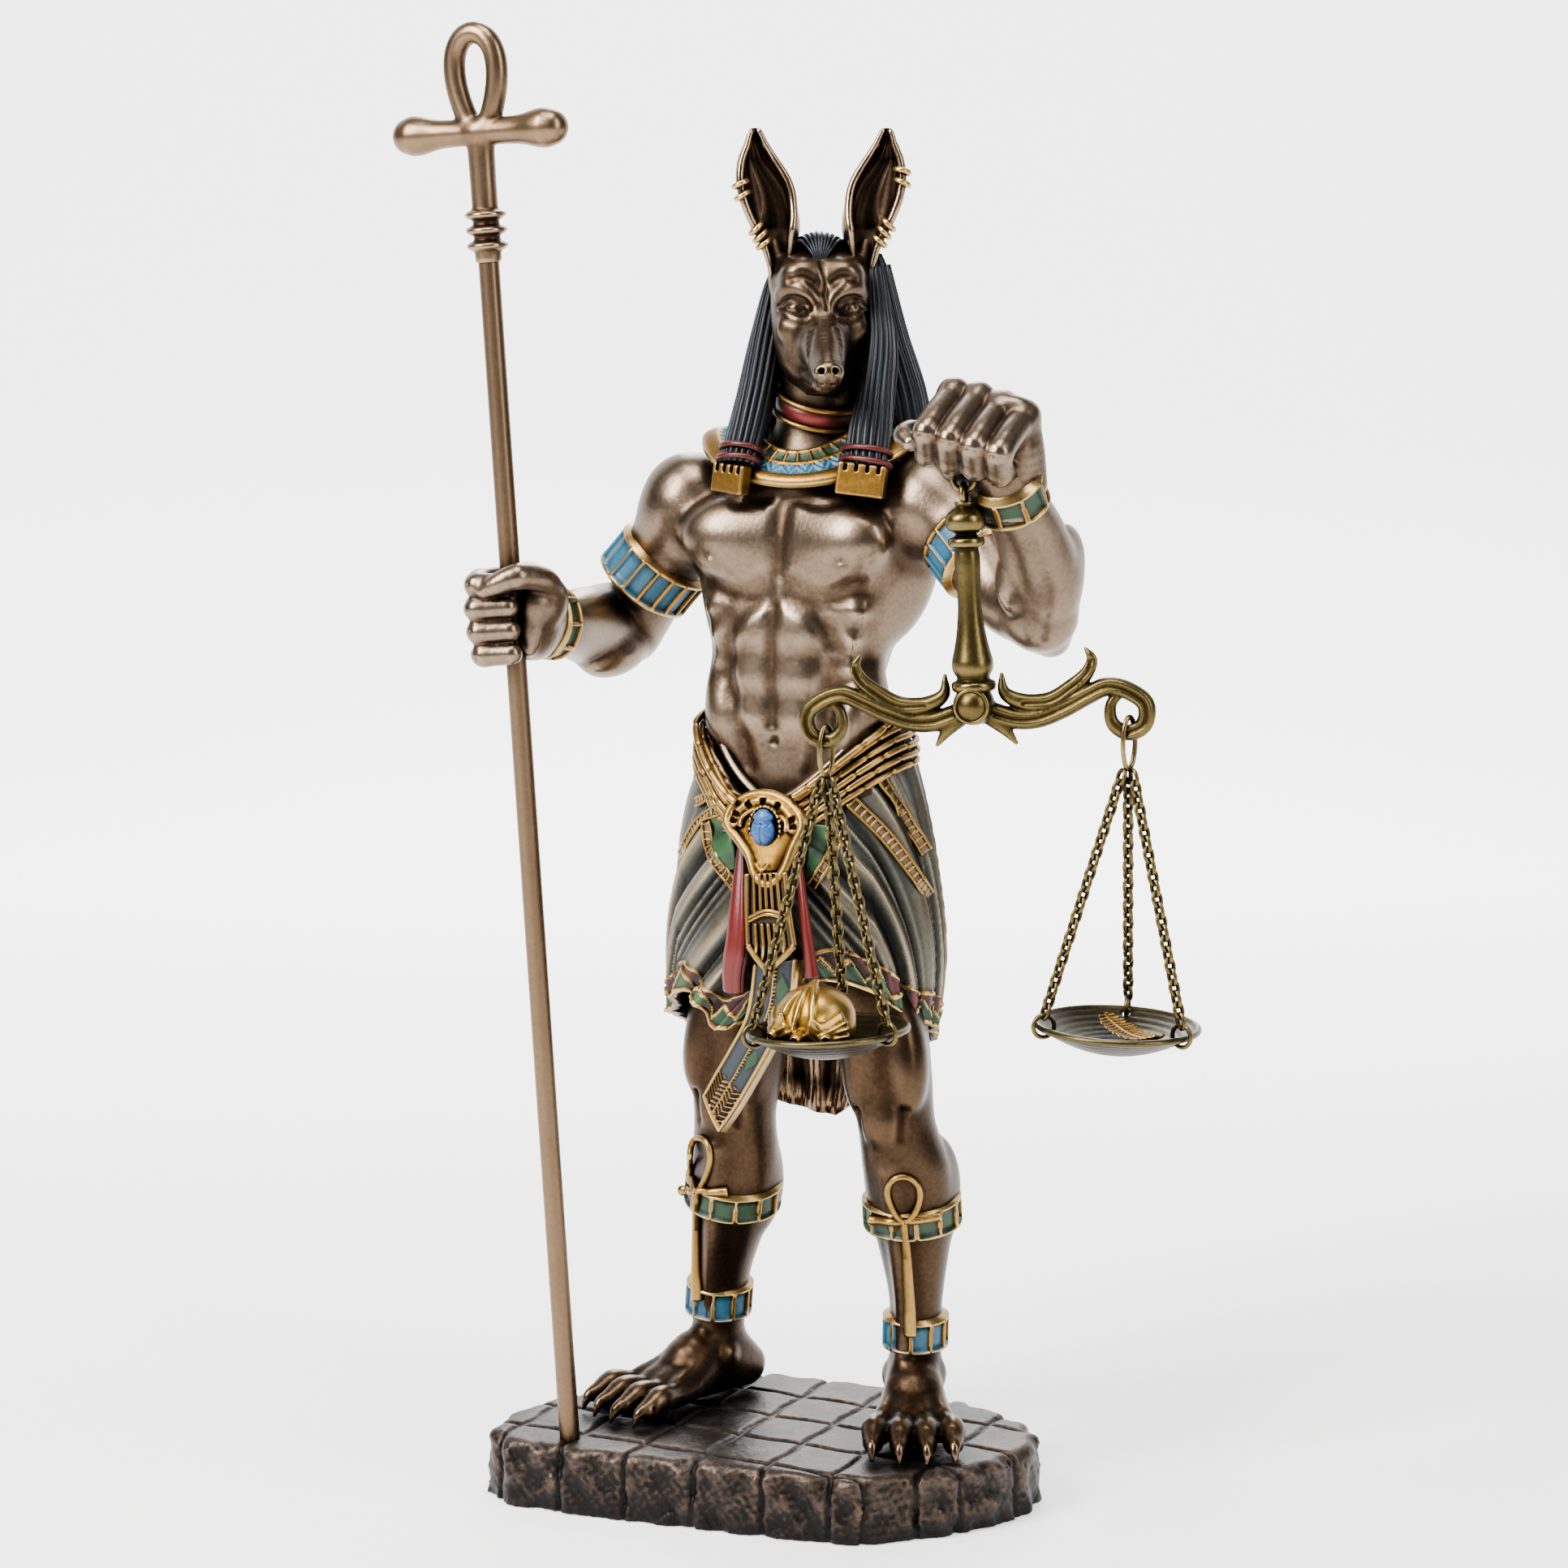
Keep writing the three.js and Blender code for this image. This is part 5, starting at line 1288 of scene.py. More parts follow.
def addKilt():
    form = kiltForm
    around, down, skip = 560, 91, 6
    angle = fullTurn(around)[None, :]
    steps = np.linspace(0, 1, down)[:, None]
    level = 0.45 * steps + 0.55 * steps**2  # closer rows towards the painted hem
    outer = kiltSurface(angle, level)
    run = outer[:, :, 2] - outer[:1, :, 2]  # height above the hem, in mm
    fromTop = outer[-1:, :, 2] - outer[:, :, 2]
    zig = np.abs((angle / (2 * math.pi) * form["zigzags"]) % 1 - 0.5) * 2
    line = 1.7 + 3.4 * zig  # the zigzag between green and red
    # Kind 4 is the bronze painted darker as shade, on the strip under the belt and on the kilt's inside
    kinds = np.zeros((down, around), int)  # cloth, then 1 red, 2 green, 3 gold and 4 bronze
    kinds[fromTop < 10] = 4
    kinds[run < form["border"]] = 1
    kinds[run < line] = 2
    gold = (np.abs(run - line) < 0.5) | (run < 0.8) | (np.abs(run - form["border"]) < 0.35)
    kinds[gold] = 3
    inward = unit((outer - np.array([0.2, 0.4, 0])) * (1, 1, 0))
    outer = outer + inward * np.where(gold, 0.35, np.where(run < form["border"], -0.1, 0))[:, :, None]
    inner = outer - inward * form["thick"] * 1.4
    inner[0, :, 2] += 0.2
    rings = np.concatenate([outer, inner[::skip][::-1]], 0)
    faces = gridFaces(len(rings), around, True)
    # The kilt's inside is painted darker as shade with that bronze
    every = np.full((len(rings), around), 4)
    every[:down] = kinds
    kit = Kit().add((rings.reshape(-1, 3), faces), every.ravel())
    finishes = ["verdigrisWash", "redEnamel", "greenEnamel", "goldPaint", "paintedShadeBronze"]
    makePiece("kilt", kit, finishes, figurePlace, reach=2)
    cloth = BVHTree.FromPolygons(rings.reshape(-1, 3).tolist(), faces.tolist())
    addBelt(cloth)
    addDressing(cloth)
    addBuckle()


beltForm = {"cords": 6, "cordRadius": 0.72, "tall": 9.2, "jointMm": 7}


def addBelt(cloth):
    kit = Kit()
    form = beltForm
    for start, stop in ((-180, -12), (20, 180)):
        angle = np.radians(np.linspace(start, stop, 150))
        outward = np.stack([np.sin(angle), -np.cos(angle), 0 * angle], 1)
        squeeze = 1 - 0.12 * np.maximum(0, np.cos(angle)) ** 3  # narrower at the buckle
        for k in range(form["cords"]):
            share = k / (form["cords"] - 1)
            line = outward * 22 + np.array([0.2, 0.4, 0])
            line[:, 2] = kiltTop(angle) - 0.5 - share * form["tall"] * squeeze
            path, _ = landOn(cloth, line, outward, 0.25 + 0.9 * math.sin(math.pi * share), 8)
            run = np.r_[0, np.cumsum(np.linalg.norm(np.diff(path, axis=0), axis=1))]
            joint = np.abs(((run + k * 2.9) / form["jointMm"]) % 1 - 0.5) * form["jointMm"]
            kit.add(tube(path, form["cordRadius"] * (1 - 0.4 * np.exp(-((joint / 0.35) ** 2))), 8))
    angle = fullTurn(240)
    outward = np.stack([np.sin(angle), -np.cos(angle), 0 * angle], 1)
    wide, deep, _ = kiltForm["waist"]
    roll = np.stack(
        [0.2 + (wide - 0.2) * np.sin(angle), 0.4 - (deep - 0.3) * np.cos(angle), kiltTop(angle) + 0.5], 1
    )
    kit.add(tube(roll, 0.95, 10, closed=True), 1)
    makePiece("belt_cords", kit, ["goldPaint", "coldCastBronze"], figurePlace, reach=0.8)


dressForm = {
    "ladders": [
        ([(-14.7, -14, 125), (-12, -17, 119.4), (-4, -21, 113.2)], 1),
        ([(16.6, -17, 124.8), (15.4, -20, 120.3), (12.8, -22, 115.2)], 0.8),
        ([(-11.3, -14, 128.1), (-19.2, -9, 123.5), (-26, -4, 115.6)], 0.9),
        ([(-14.2, -12, 130.4), (-21, -6, 127.4)], 0.8),
        ([(23, -12, 136), (27.4, -11, 129.4), (31, -7, 121.2)], 1.1),
        ([(18.9, -17, 132), (27, -16, 124.7), (32.6, -9, 112.6)], 1.1),
    ],
    "greens": [
        ([(-9, -16, 128), (-9.6, -17.4, 122.6), (-6, -20, 116.6)], (2.6, 3.4, 1)),
        ([(12.4, -18, 127), (13, -20, 121.4), (12, -22.4, 117)], (2.4, 2.2, 0.7)),
    ],
    "reds": [
        (
            [
                (-4, -19.6, 123.6), (-2.4, -23.2, 114), (-1.8, -25.4, 103), (-2.8, -25.2, 97.6),
                (-3.2, -24.6, 93)
            ],
            (0.6, 1.6, 2.4, 2.8, 2.4)
        ),
        (
            [(8.4, -19.6, 125), (10.6, -22.6, 117.4), (12.8, -24.6, 108), (14.4, -24.8, 97.6)],
            (0.8, 1.3, 1.8, 2.2)
        ),
    ],
    "apron": {
        "left": [(-0.2, -24.4, 117), (0.4, -25.6, 109), (1, -26.4, 103)],
        "right": [(8.1, -24.4, 118), (9.8, -25.6, 110), (11.3, -26.4, 103.9)], "tip": (5.6, -26.8, 98.4),
    },
    "sash": {
        "left": [(1.4, -25, 99), (-0.6, -24.2, 88.5), (-4.8, -23.2, 81.2), (-9, -22, 75), (-12.2, -21, 70)],
        "right": [
            (11.1, -25, 101), (9.4, -24.2, 91.1), (2.9, -22.4, 80.1), (-5.5, -20.6, 67.2),
            (-8.9, -20.4, 62.6)
        ],
    },
}


def addSash():
    # Kinds: 0 gold edges and signs, 1 slate cloth, 2 green leaves, 3 the bronze panel at the top
    form = dressForm["sash"]
    rows, across = 150, 44
    left, right = curved(form["left"], rows)[:, None], curved(form["right"], rows)[:, None]
    v, u = np.meshgrid(np.linspace(0, 1, rows), np.linspace(0, 1, across), indexing="ij")
    edge = (u < 0.075) | (u > 0.925) | (v > 0.97) | (np.abs(u - 0.52) < 0.022)
    panel = v > 0.76
    chevron = ((v * 34 + np.abs(u - np.where(u < 0.52, 0.3, 0.72)) * 5) % 1 < 0.34) & panel
    leaf = np.zeros_like(u, bool)
    for place in (0.14, 0.36, 0.58):
        leaf |= np.abs(u - 0.72) / 0.17 + np.abs(v - place) / 0.07 < 1
    dots = (np.abs(u - 0.57) < 0.022) & ((v * 46) % 1 < 0.5)
    kinds = np.where(panel, 3, 1)
    kinds[leaf & ~panel] = 2
    kinds[edge | chevron | dots] = 0
    rise = np.where(kinds == 0, 0.4, np.where(kinds == 2, 0.15, 0)) + 0.8 * (1 - (2 * u - 1) ** 2)
    face = left + (right - left) * u[:, :, None] + rise[:, :, None] * np.array([0.2, -1, 0.1])
    back = (face + (0.6, 2.2, -0.4))[:, ::-1]
    points, faces = closedGrid(np.concatenate([face, back], 1))
    every = np.full(len(faces), 3)
    grid = np.full((rows - 1, 2 * across), 3)
    grid[:, :across] = kinds[:-1]
    every[: grid.size] = grid.ravel()
    finishes = ["goldPaint", "slateWash", "greenEnamel", "coldCastBronze"]
    makePiece(
        "sash", Kit().add((points, faces), every), finishes, figurePlace, reach=0.8
    )


def addDressing(cloth):
    form = dressForm
    bands, green, red, apron = Kit(), Kit(), Kit(), Kit()
    for line, half in form["ladders"]:
        ladder(bands, cloth, line, half)
    for line, half in form["greens"]:
        path, normals = landOn(cloth, curved(line, 40), toEye, 0.2, 5)
        across = unit(np.cross(normals, np.gradient(path, axis=0)))
        width = np.interp(np.linspace(0, 1, 40), np.linspace(0, 1, 3), half)[:, None]
        green.add(ribbon(path, across * width, 0.4, 9))
    for line, half in form["reds"]:
        path = curved(line, 60)
        wide = np.interp(np.linspace(0, 1, 60), np.linspace(0, 1, len(half)), half)
        red.add(tube(path, wide * 0.62, 20, flat=1.6))
        red.add(tube(path + np.stack([wide * 0.5, -wide * 0.35, 0 * wide], 1), wide * 0.35, 12))
    left, right = [curved(form["apron"][side], 40) for side in ("left", "right")]
    tip = np.array(form["apron"]["tip"])
    at = lambda u, k: left[k] + (right[k] - left[k]) * u - (0, 0.5 * (1 - (2 * u - 1) ** 2), 0)
    # A gold frame, five ribs and two cross cords over a bronze ground
    for edge in (left, right):
        apron.add(tube(edge, 0.62, 8))
    apron.add(tube(curved([left[-1], (left[-1] + tip) / 2 - (0, 0.1, 0.2), tip], 20), 0.75, 8))
    apron.add(tube(curved([right[-1], (right[-1] + tip) / 2 - (0, 0.1, 0.2), tip], 20), 0.75, 8))
    for u in (0.2, 0.36, 0.5, 0.64, 0.8):
        apron.add(tube([at(u, k) for k in range(24)], 0.42, 6))
        end = at(u, 39) + (tip - at(0.5, 39)) * (0.7 - abs(u - 0.5))
        apron.add(tube([at(u, k) for k in range(27, 40)] + [end], 0.42, 6))
    for k in (24, 26):
        apron.add(tube(curved([at(0, k), at(0.5, k) + (0, -0.3, 1.6), at(1, k)], 20), 0.4, 6))
    # The bronze ground behind the ribs
    centre = np.array([at(0.5, k) for k in range(40)] + [tip + (0, 0.6, 0.6)])
    half = np.array([(right[k] - left[k]) / 2 for k in range(40)] + [(0.4, 0, 0)])
    apron.add(ribbon(centre + (0, 1.1, 0), half, 0.6, 9), 1)
    makePiece("side_bands", bands, ["goldPaint", "coldCastBronze"], figurePlace, reach=0.8)
    makePiece("side_drapes", green, ["greenEnamel"], figurePlace)
    makePiece("red_folds", red, ["redEnamel"], figurePlace, reach=2)
    makePiece("apron", apron, ["goldPaint", "coldCastBronze"], figurePlace, reach=0.8)
    addSash()


buckleForm = {
    "outline": [
        (0.4, -18.9, 132.4), (4.9, -19.2, 131.7), (8.3, -19.9, 129.8), (10.2, -20.8, 127.3),
        (8.8, -22.3, 122.5), (7.1, -23.9, 117.3), (4.5, -24.5, 115.2), (1.6, -24, 116.5),
        (-0.5, -22.8, 120.3), (-3.7, -21.6, 123.4), (-6.5, -20.8, 126.1), (-6.4, -19.9, 128.7),
        (-3.8, -19.2, 131.1),
    ],
    "beetle": (2.2, -22.7, 126.1), "beetleHalf": (2.6, 1.5, 3.5),
}


def addBuckle():
    form = buckleForm
    clay = Clay((-10, -28, 111), (14, -14, 136), 0.24, 1)
    outline = curved(form["outline"], 60, closed=True)
    clay.limb([(*p, 1.05) for p in np.vstack([outline, outline[:1]])[::2]], blend=0.4, steps=60)
    clay.limb([
        (1.8, -18.8, 130.6, 4.6, 1), (2, -19.8, 127, 7.4, 1), (2.4, -21.4, 122.6, 5.6, 1),
        (3, -23, 118, 3, 1)
    ], blend=0.3)
    middlePoint = np.array([2, -20.4, 126])
    # A half round of panels over the beetle: rim, ring of slots and inner rim
    arch = sorted((p for p in outline if p[2] > 125.6), key=lambda p: p[0])
    drawnIn = lambda p, share, ahead: middlePoint + (p - middlePoint) * share - (0, ahead, 0)
    inner = curved([drawnIn(p, (0.62, 0.62, 0.58), 0.9) for p in arch], 24)
    clay.limb([(*p, 0.5) for p in inner], blend=0.3, steps=30)
    ringShare = (0.8, 0.8, 0.79)
    clay.limb([(*drawnIn(p, ringShare, 0.3), 1.1) for p in arch], blend=0.4, steps=30)
    for k in range(7):
        p = curved(arch, 22)[int(1 + k * 3.2)]
        lean = math.degrees(math.atan2(p[0] - 2, p[2] - 126))
        clay.brick(drawnIn(p, ringShare, 1.5), (0.62, 1, 0.72), (0, lean, 0), 0.15, 0.15, cut=True)
    # Beads round the beetle, and small flowers below it
    cx, cy, cz = form["beetle"]
    wide, _, tall = form["beetleHalf"]
    for a in fullTurn(26):
        bead = (cx + (wide + 0.8) * math.sin(a), cy + 1.2, cz + (tall + 0.7) * math.cos(a))
        clay.blob(bead, (0.4, 0.5, 0.4), blend=0.1)
    for x, z in ((1.4, 121), (2.6, 120.6), (3.8, 121), (2.2, 119.4), (3.2, 119.4)):
        clay.blob((x, -22.6 + (z - 120) * 0.25, z), (0.42, 0.6, 0.42), blend=0.1)
    for line in ([(1.6, 119), (2.6, 117.6), (3.9, 119)], [(2.7, 118), (3, 116.6), (3.2, 115.6)]):
        clay.limb([(x, -24.1 + (z - 117) * 0.25, z, 0.38) for x, z in line], blend=0.2)
    makePiece("buckle", Kit().add(clay.surface()), ["goldPaint"], figurePlace, reach=1)
    stone = Clay((cx - 4, cy - 3, cz - 5), (cx + 4, cy + 3, cz + 5), 0.2, 0.8)
    stone.blob((cx, cy + 0.4, cz - 0.6), (wide, 1.6, tall * 0.84), blend=0.3)
    stone.blob((cx, cy + 0.6, cz + 2.2), (wide * 0.84, 1.4, 1.2), blend=0.15)
    stone.blob((cx, cy + 0.6, cz + 3.1), (wide * 0.5, 1, 0.7), blend=0.15)
    stone.mark([(cx - 2.6, cz + 1.2), (cx, cz + 0.9), (cx + 2.6, cz + 1.2)], 0.2, 0.24, 0.15)
    stone.mark([(cx, cz + 1), (cx, cz - 1.5), (cx, cz - 4)], 0.2, 0.24, 0.15)
    for s in (-1, 1):
        wing = [(cx + s * 0.5, cz - 0.6), (cx + s * 1.7, cz - 1.6), (cx + s * 2.2, cz - 2.4)]
        stone.mark(wing, 0.14, 0.14, 0.12)
    makePiece(
        "beetle", Kit().add(stone.surface()), ["lapisEnamel"], figurePlace,
        reach=0.6
    )


shinAnkhs = {
    "right": {
        "top": (-18.8, -9, 58), "cross": (-19.7, -9.5, 46.6), "foot": (-22.6, -4, 21.7),
        "arms": [(-24.2, -8, 45.9), (-12.6, -9.5, 47.5)], "half": 2.4
    },
    "left": {
        "top": (26.5, -8, 55), "cross": (26.9, -8, 45.4), "foot": (25.5, -2, 20),
        "arms": [(18.8, -7, 44.7), (34.6, -7, 47)], "half": 3.4
    },
}


# Small ankhs laid on the shins
def addShinAnkhs(legs):
    points, faces = legs.surface()
    places, rows = [points], [faces]
    for bandPoints, bandFaces in bandShapes.values():
        rows.append(bandFaces + sum(len(p) for p in places))
        places.append(bandPoints)
    corners = [list(dict.fromkeys(row)) for row in np.vstack(rows).tolist()]
    ground = BVHTree.FromPolygons(np.vstack(places).tolist(), corners)
    kit = Kit()
    for form in shinAnkhs.values():
        top, cross, foot = [np.array(form[key]) for key in ("top", "cross", "foot")]
        bow = lambda a: np.array([form["half"] * math.sin(a) * (1 - 0.3 * math.cos(a)), 0, 0])
        turns = np.linspace(0, 2 * math.pi, 40)
        loop = [cross + (top - cross) * (1 - math.cos(a)) / 2 + bow(a) for a in turns]
        place = lambda line, count, soften=2: landOn(ground, curved(line, count), toEye, 0.35, soften)[0]
        kit.add(tube(landOn(ground, np.array(loop), toEye, 0.4, 2)[0], 0.68, 10))
        for arm in form["arms"]:
            kit.add(tube(place([cross, (cross + arm) / 2, arm], 20), np.linspace(0.75, 1.1, 20), 10))
        kit.add(tube(place([cross, (cross + foot) / 2, foot], 60, 7), np.linspace(0.75, 1.35, 60), 12))
    makePiece("shin_ankhs", kit, ["goldPaint"], figurePlace, reach=0.9)


def addFigure():
    body = modelBody()
    legs = modelLegs()
    parts = {"body": body, "legs": legs, "right_hand": modelRightHand(), "left_hand": modelLeftHand()}
    for name, clay in parts.items():
        kit = Kit().add(clay.surface())
        replaced = ("figure",) if name == "body" else ()
        # The legs take the bronze painted darker as shade, as light falls from above
        bronze = "paintedShadeBronze" if name == "legs" else "coldCastBronze"
        reach = 0.9 if "hand" in name else 1.6
        makePiece(name, kit, [bronze], figurePlace, replaced, reach)
    addHead()
    addWig()
    addCollar()
    addBands()
    addKilt()
    addShinAnkhs(legs)


# Base
baseForm = {
    "pitch": 14.3, "firstColumn": -46.5, "columns": 7, "firstRow": -23.6, "rows": 4, "jointHalf": 0.55,
    "groove": 0.75, "edgeRound": 2.6, "rough": 0.8,
}


def addBase():
    # The CAD's outline, roughened like broken stone, with the joints of square slabs cut into the top
    points = cadPoints("base")
    low, high = points.min(0), points.max(0)
    ring = points[np.abs(points[:, 2] - 1.6) < 0.3]
    order = np.argsort(np.arctan2(ring[:, 1], ring[:, 0]))
    outline = ring[order][:, :2]
    clay = Clay((low[0] - 2, low[1] - 2, -1.2), (high[0] + 2, high[1] + 2, high[2] + 2), 0.52, 3)
    form = baseForm
    noise = np.random.default_rng(4)
    # A wave: its three rates per mm, its start and its height
    wave = lambda least, most: (
        noise.uniform(least, most, 3) * noise.choice([-1, 1], 3), noise.uniform(0, 6), noise.uniform(0.3, 1)
    )
    waves = [wave(0.15, 0.9) for _ in range(14)]
    crinkles = [wave(0.7, 2) for _ in range(9)]
    swing = lambda w, x, y, z: np.sin(w[0][0] * x + w[0][1] * y + w[0][2] * z + w[1])

    def distance(x, y, z):
        best = np.full(np.broadcast(x, y).shape, 1e9, np.float32)
        sign = np.ones_like(best)
        for a, b in zip(outline, np.roll(outline, -1, 0)):
            e = b - a
            px, py = x - a[0], y - a[1]
            t = np.clip((px * e[0] + py * e[1]) / max(e @ e, 1e-9), 0, 1)
            best = np.minimum(best, (px - e[0] * t) ** 2 + (py - e[1] * t) ** 2)
            crosses = ((a[1] <= y) != (b[1] <= y)) & (px * e[1] * np.sign(e[1]) < py * e[0] * np.sign(e[1]))
            sign = np.where(crosses, -sign, sign)
        flat = np.sqrt(best) * sign
        ripple = sum(w[2] * swing(w, x, y, z) for w in waves) / 5
        crinkle = sum(w[2] * (1 - 2 * np.abs(swing(w, x, y, z))) for w in crinkles) / 4
        joint = 0
        for k in range(form["columns"]):
            off = x - form["firstColumn"] - k * form["pitch"] + 0.3 * np.sin(y * 0.4 + k)
            joint = np.maximum(joint, np.exp(-((off / form["jointHalf"]) ** 2)))
        for k in range(form["rows"]):
            off = y - form["firstRow"] - k * form["pitch"] + 0.3 * np.sin(x * 0.37 + k)
            joint = np.maximum(joint, np.exp(-((off / form["jointHalf"]) ** 2)))
        flat = flat + 0.9 + form["rough"] * ripple + 0.42 * crinkle + 0.9 * joint
        r = form["edgeRound"]
        up = z - high[2] + 0.1 + form["groove"] * joint + 0.1 * ripple - 0.07 * crinkle
        edge = np.hypot(np.maximum(flat + r, 0), np.maximum(up + r, 0))
        edge = edge + np.minimum(np.maximum(flat + r, up + r), 0) - r
        return np.maximum(edge, 0.05 - z)

    clay.work(distance, low, high, 0, False)
    makePiece(
        "paved_base", Kit().add(clay.surface()), ["spongedStone"],
        replaces=("base",), reach=1.4
    )


# Staff
staffForm = {
    "rod": 2.05, "ringPitch": 3.0, "stem": 20.4, "loopRise": 19, "loopHalf": 4.6, "strand": 2.3,
    "span": 31.5, "arm": 2.7,
}


def addStaff():
    form = staffForm
    top, foot = endsOf("staff_rod", 0.1)
    along = unit(top - foot)
    across = unit(np.array([1, 0, 0]) - along[0] * along)
    deep = np.cross(along, across)
    path = foot + along * np.linspace(0.2, np.linalg.norm(top - foot) + 0.4, 160)[:, None]
    rod = Kit().add(tube(path, form["rod"], 28))
    makePiece("staff", rod, ["satinBronze"], replaces=("staff_rod",))
    clay = Clay((-20, -7, -2), (20, 7, 48), 0.4, 2)
    cross = form["stem"] + form["arm"]
    clay.limb([(0, 0, -1, 2.6), (0, 0, 10, 2.55), (0, 0, cross, 2.7)], blend=1)
    for k in range(3):
        clay.blob((0, 0, 1.2 + k * form["ringPitch"]), (4.1, 4.1, 1.25), blend=0.4)
    for s in (-1, 1):
        half = form["span"] / 2
        clay.limb([
            (0, 0, cross, 2.5), (s * half * 0.6, 0, cross, 2.9), (s * (half - 1), 0, cross, 3.9, 3.9),
            (s * half, 0, cross, 3.6, 3.6)
        ], blend=1.2)
    loop = []
    for a in np.linspace(0, 2 * math.pi, 25):
        x = math.sin(a) * (1 - 0.3 * math.cos(a)) * form["loopHalf"]
        loop.append((x, 0, cross + form["loopRise"] * (1 - math.cos(a)) / 2, form["strand"] * 0.94))
    clay.limb(loop, blend=0.9, steps=40)
    points, faces = clay.surface()
    placed = top + along * 0.3 + points[:, :1] * across + points[:, 1:2] * deep + points[:, 2:] * along
    makePiece(
        "staff_head", Kit().add((placed, faces)), ["satinBronze"],
        replaces=("staff_ankh",)
    )


# Balance
balanceForm = {
    "stem": 39.6, "boss": 3.9, "halfSpan": 29, "strand": 1.5, "hookSag": 2.4, "hookRadius": 3.2,
    "wire": 0.5
}


def wireLoop(centre, acrossHalf, upHalf, across, up, wire, steps):
    angle = fullTurn(steps)[:, None]
    path = np.array(centre) + acrossHalf * np.cos(angle) * unit(across) + upHalf * np.sin(angle) * unit(up)
    return tube(path, wire, 8, closed=True)


def addBalance():
    form = balanceForm
    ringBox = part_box("hanging_ring")
    ringSize = (ringBox[1] - ringBox[0]) * 1000
    radius = ringSize[0] / 2 - form["wire"]
    ringMiddle = middle("hanging_ring")
    makePiece(
        "fist_ring",
        Kit().add(wireLoop(ringMiddle, radius, radius, (1, 0, 0), (0, 0, 1), form["wire"] * 1.05, 40)),
        ["antiqueBrass"], replaces=("hanging_ring",)
    )
    across = unit((middle("right_hanger_link") - middle("left_hanger_link")))
    flat = unit(np.array([across[0], across[1], 0]))
    back = np.array([-flat[1], flat[0], 0])
    up = np.cross(across, back)
    eye = np.array([ringMiddle[0], ringMiddle[1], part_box("balance_beam")[1].z * 1000 - 2.37])
    place = lambda shape: (
        eye + shape[0][:, :1] * across + shape[0][:, 1:2] * back + shape[0][:, 2:] * up, shape[1]
    )
    kit = Kit()
    kit.add(place(wireLoop((0, 0, 0), 1.75, 1.75, (0, 1, 0), (0, 0, 1), 0.6, 28)))
    r, h = form["boss"], form["stem"]
    # The stem's turned outline: radius as a share of the boss, and height below the eye
    profile = [
        (0.02, -1.4), (0.5, -1.5), (0.42, -2.4), (0.62, -2.9), (0.92, -4), (0.98, -5.2), (0.86, -6.6),
        (0.5, -7.4), (0.56, -7.9), (0.84, -8.3), (0.88, -9), (0.84, -9.7), (0.56, -10.1), (0.6, -11),
        (0.62, -13), (0.57, -17), (0.58, -21.5), (0.7, -26), (0.88, -29.6), (1, -31.6), (0.97, -33.2),
        (0.8, -34.4), (0.82, -35), (1.04, -35.4), (1.08, -36.2), (1, -37), (0.84, -37.3), (0.9, -39.5),
    ]
    profile = curved(np.array([(x * r, z) + (0,) for x, z in profile]), 120)[:, :2]
    kit.add(place(turnedProfile(profile, sides=40)))
    # The beam: boss, two scrolled arms with hooks, leaves along them and their stems
    clay = Clay((-36, -6, -10), (36, 6, 12), 0.34, 1.2)
    clay.blob((0, -0.8, 0), (r, r * 1.13, r), blend=0.5)
    for s in (-1, 1):
        span = form["halfSpan"]
        hook = [
            (
                s * (span + form["hookRadius"] * 1.12 * math.cos(math.radians(a))),
                form["hookRadius"] * 1.2 * math.sin(math.radians(a)) - form["hookSag"]
            )
            for a in (80, 20, -40, -95, -150, -210, -250)
        ]
        strand = [(0, -0.6), (4, -1.9), (8, -3.1), (12, -3), (17, -1.2), (21.2, 0.9), (25.4, 2.6)]
        line = [(s * x, z) for x, z in strand] + hook
        thick = np.interp(np.linspace(0, 1, len(line)), [0, 0.5, 0.75, 1], [2, 1.75, 1.6, 0.8])
        clay.limb([(x, 0, z, t) for (x, z), t in zip(line, thick)], blend=0.5, steps=60)
        leaf = [
            (5.4, 5.6), (5.8, 2), (9.5, 0.1), (14.4, 0.3), (18.5, 2.7), (21.6, 5.3), (22.6, 7.8),
            (21.4, 9.9)
        ]
        size = [0.4, 1.2, 1.6, 1.65, 1.5, 1.3, 1, 0.35]
        clay.limb([(s * x, 0, z, t) for (x, z), t in zip(leaf, size)], blend=0.5, steps=40)
        clay.groove([(x, -t, z + 0.2) for (x, z), t in zip(line[1:11], thick[1:11])], 0.62, 0.3)
        clay.groove([(s * x, -t, z) for (x, z), t in list(zip(leaf, size))[2:7]], 0.5, 0.3)
        clay.limb([(s * 2, 0, -2, 1.6), (s * 5.4, 0, -4.8, 1.2), (s * 7.6, 0, -7.6, 0.4)], blend=0.5)
    points, faces = clay.surface()
    kit.add(place((points + (0, 0, -h), faces)))
    boss = wireLoop((0, -0.8 - r * 0.75, -h), r * 0.78, r * 0.78, (1, 0, 0), (0, 0, 1), 0.45, 40)
    kit.add(place(boss))
    makePiece("balance", kit, ["antiqueBrass"], replaces=("balance_beam",), reach=1)
    for label in ("left", "right"):
        addHanging(label)


chainForm = {"links": 22, "wire": 0.42, "halfWidth": 0.92}


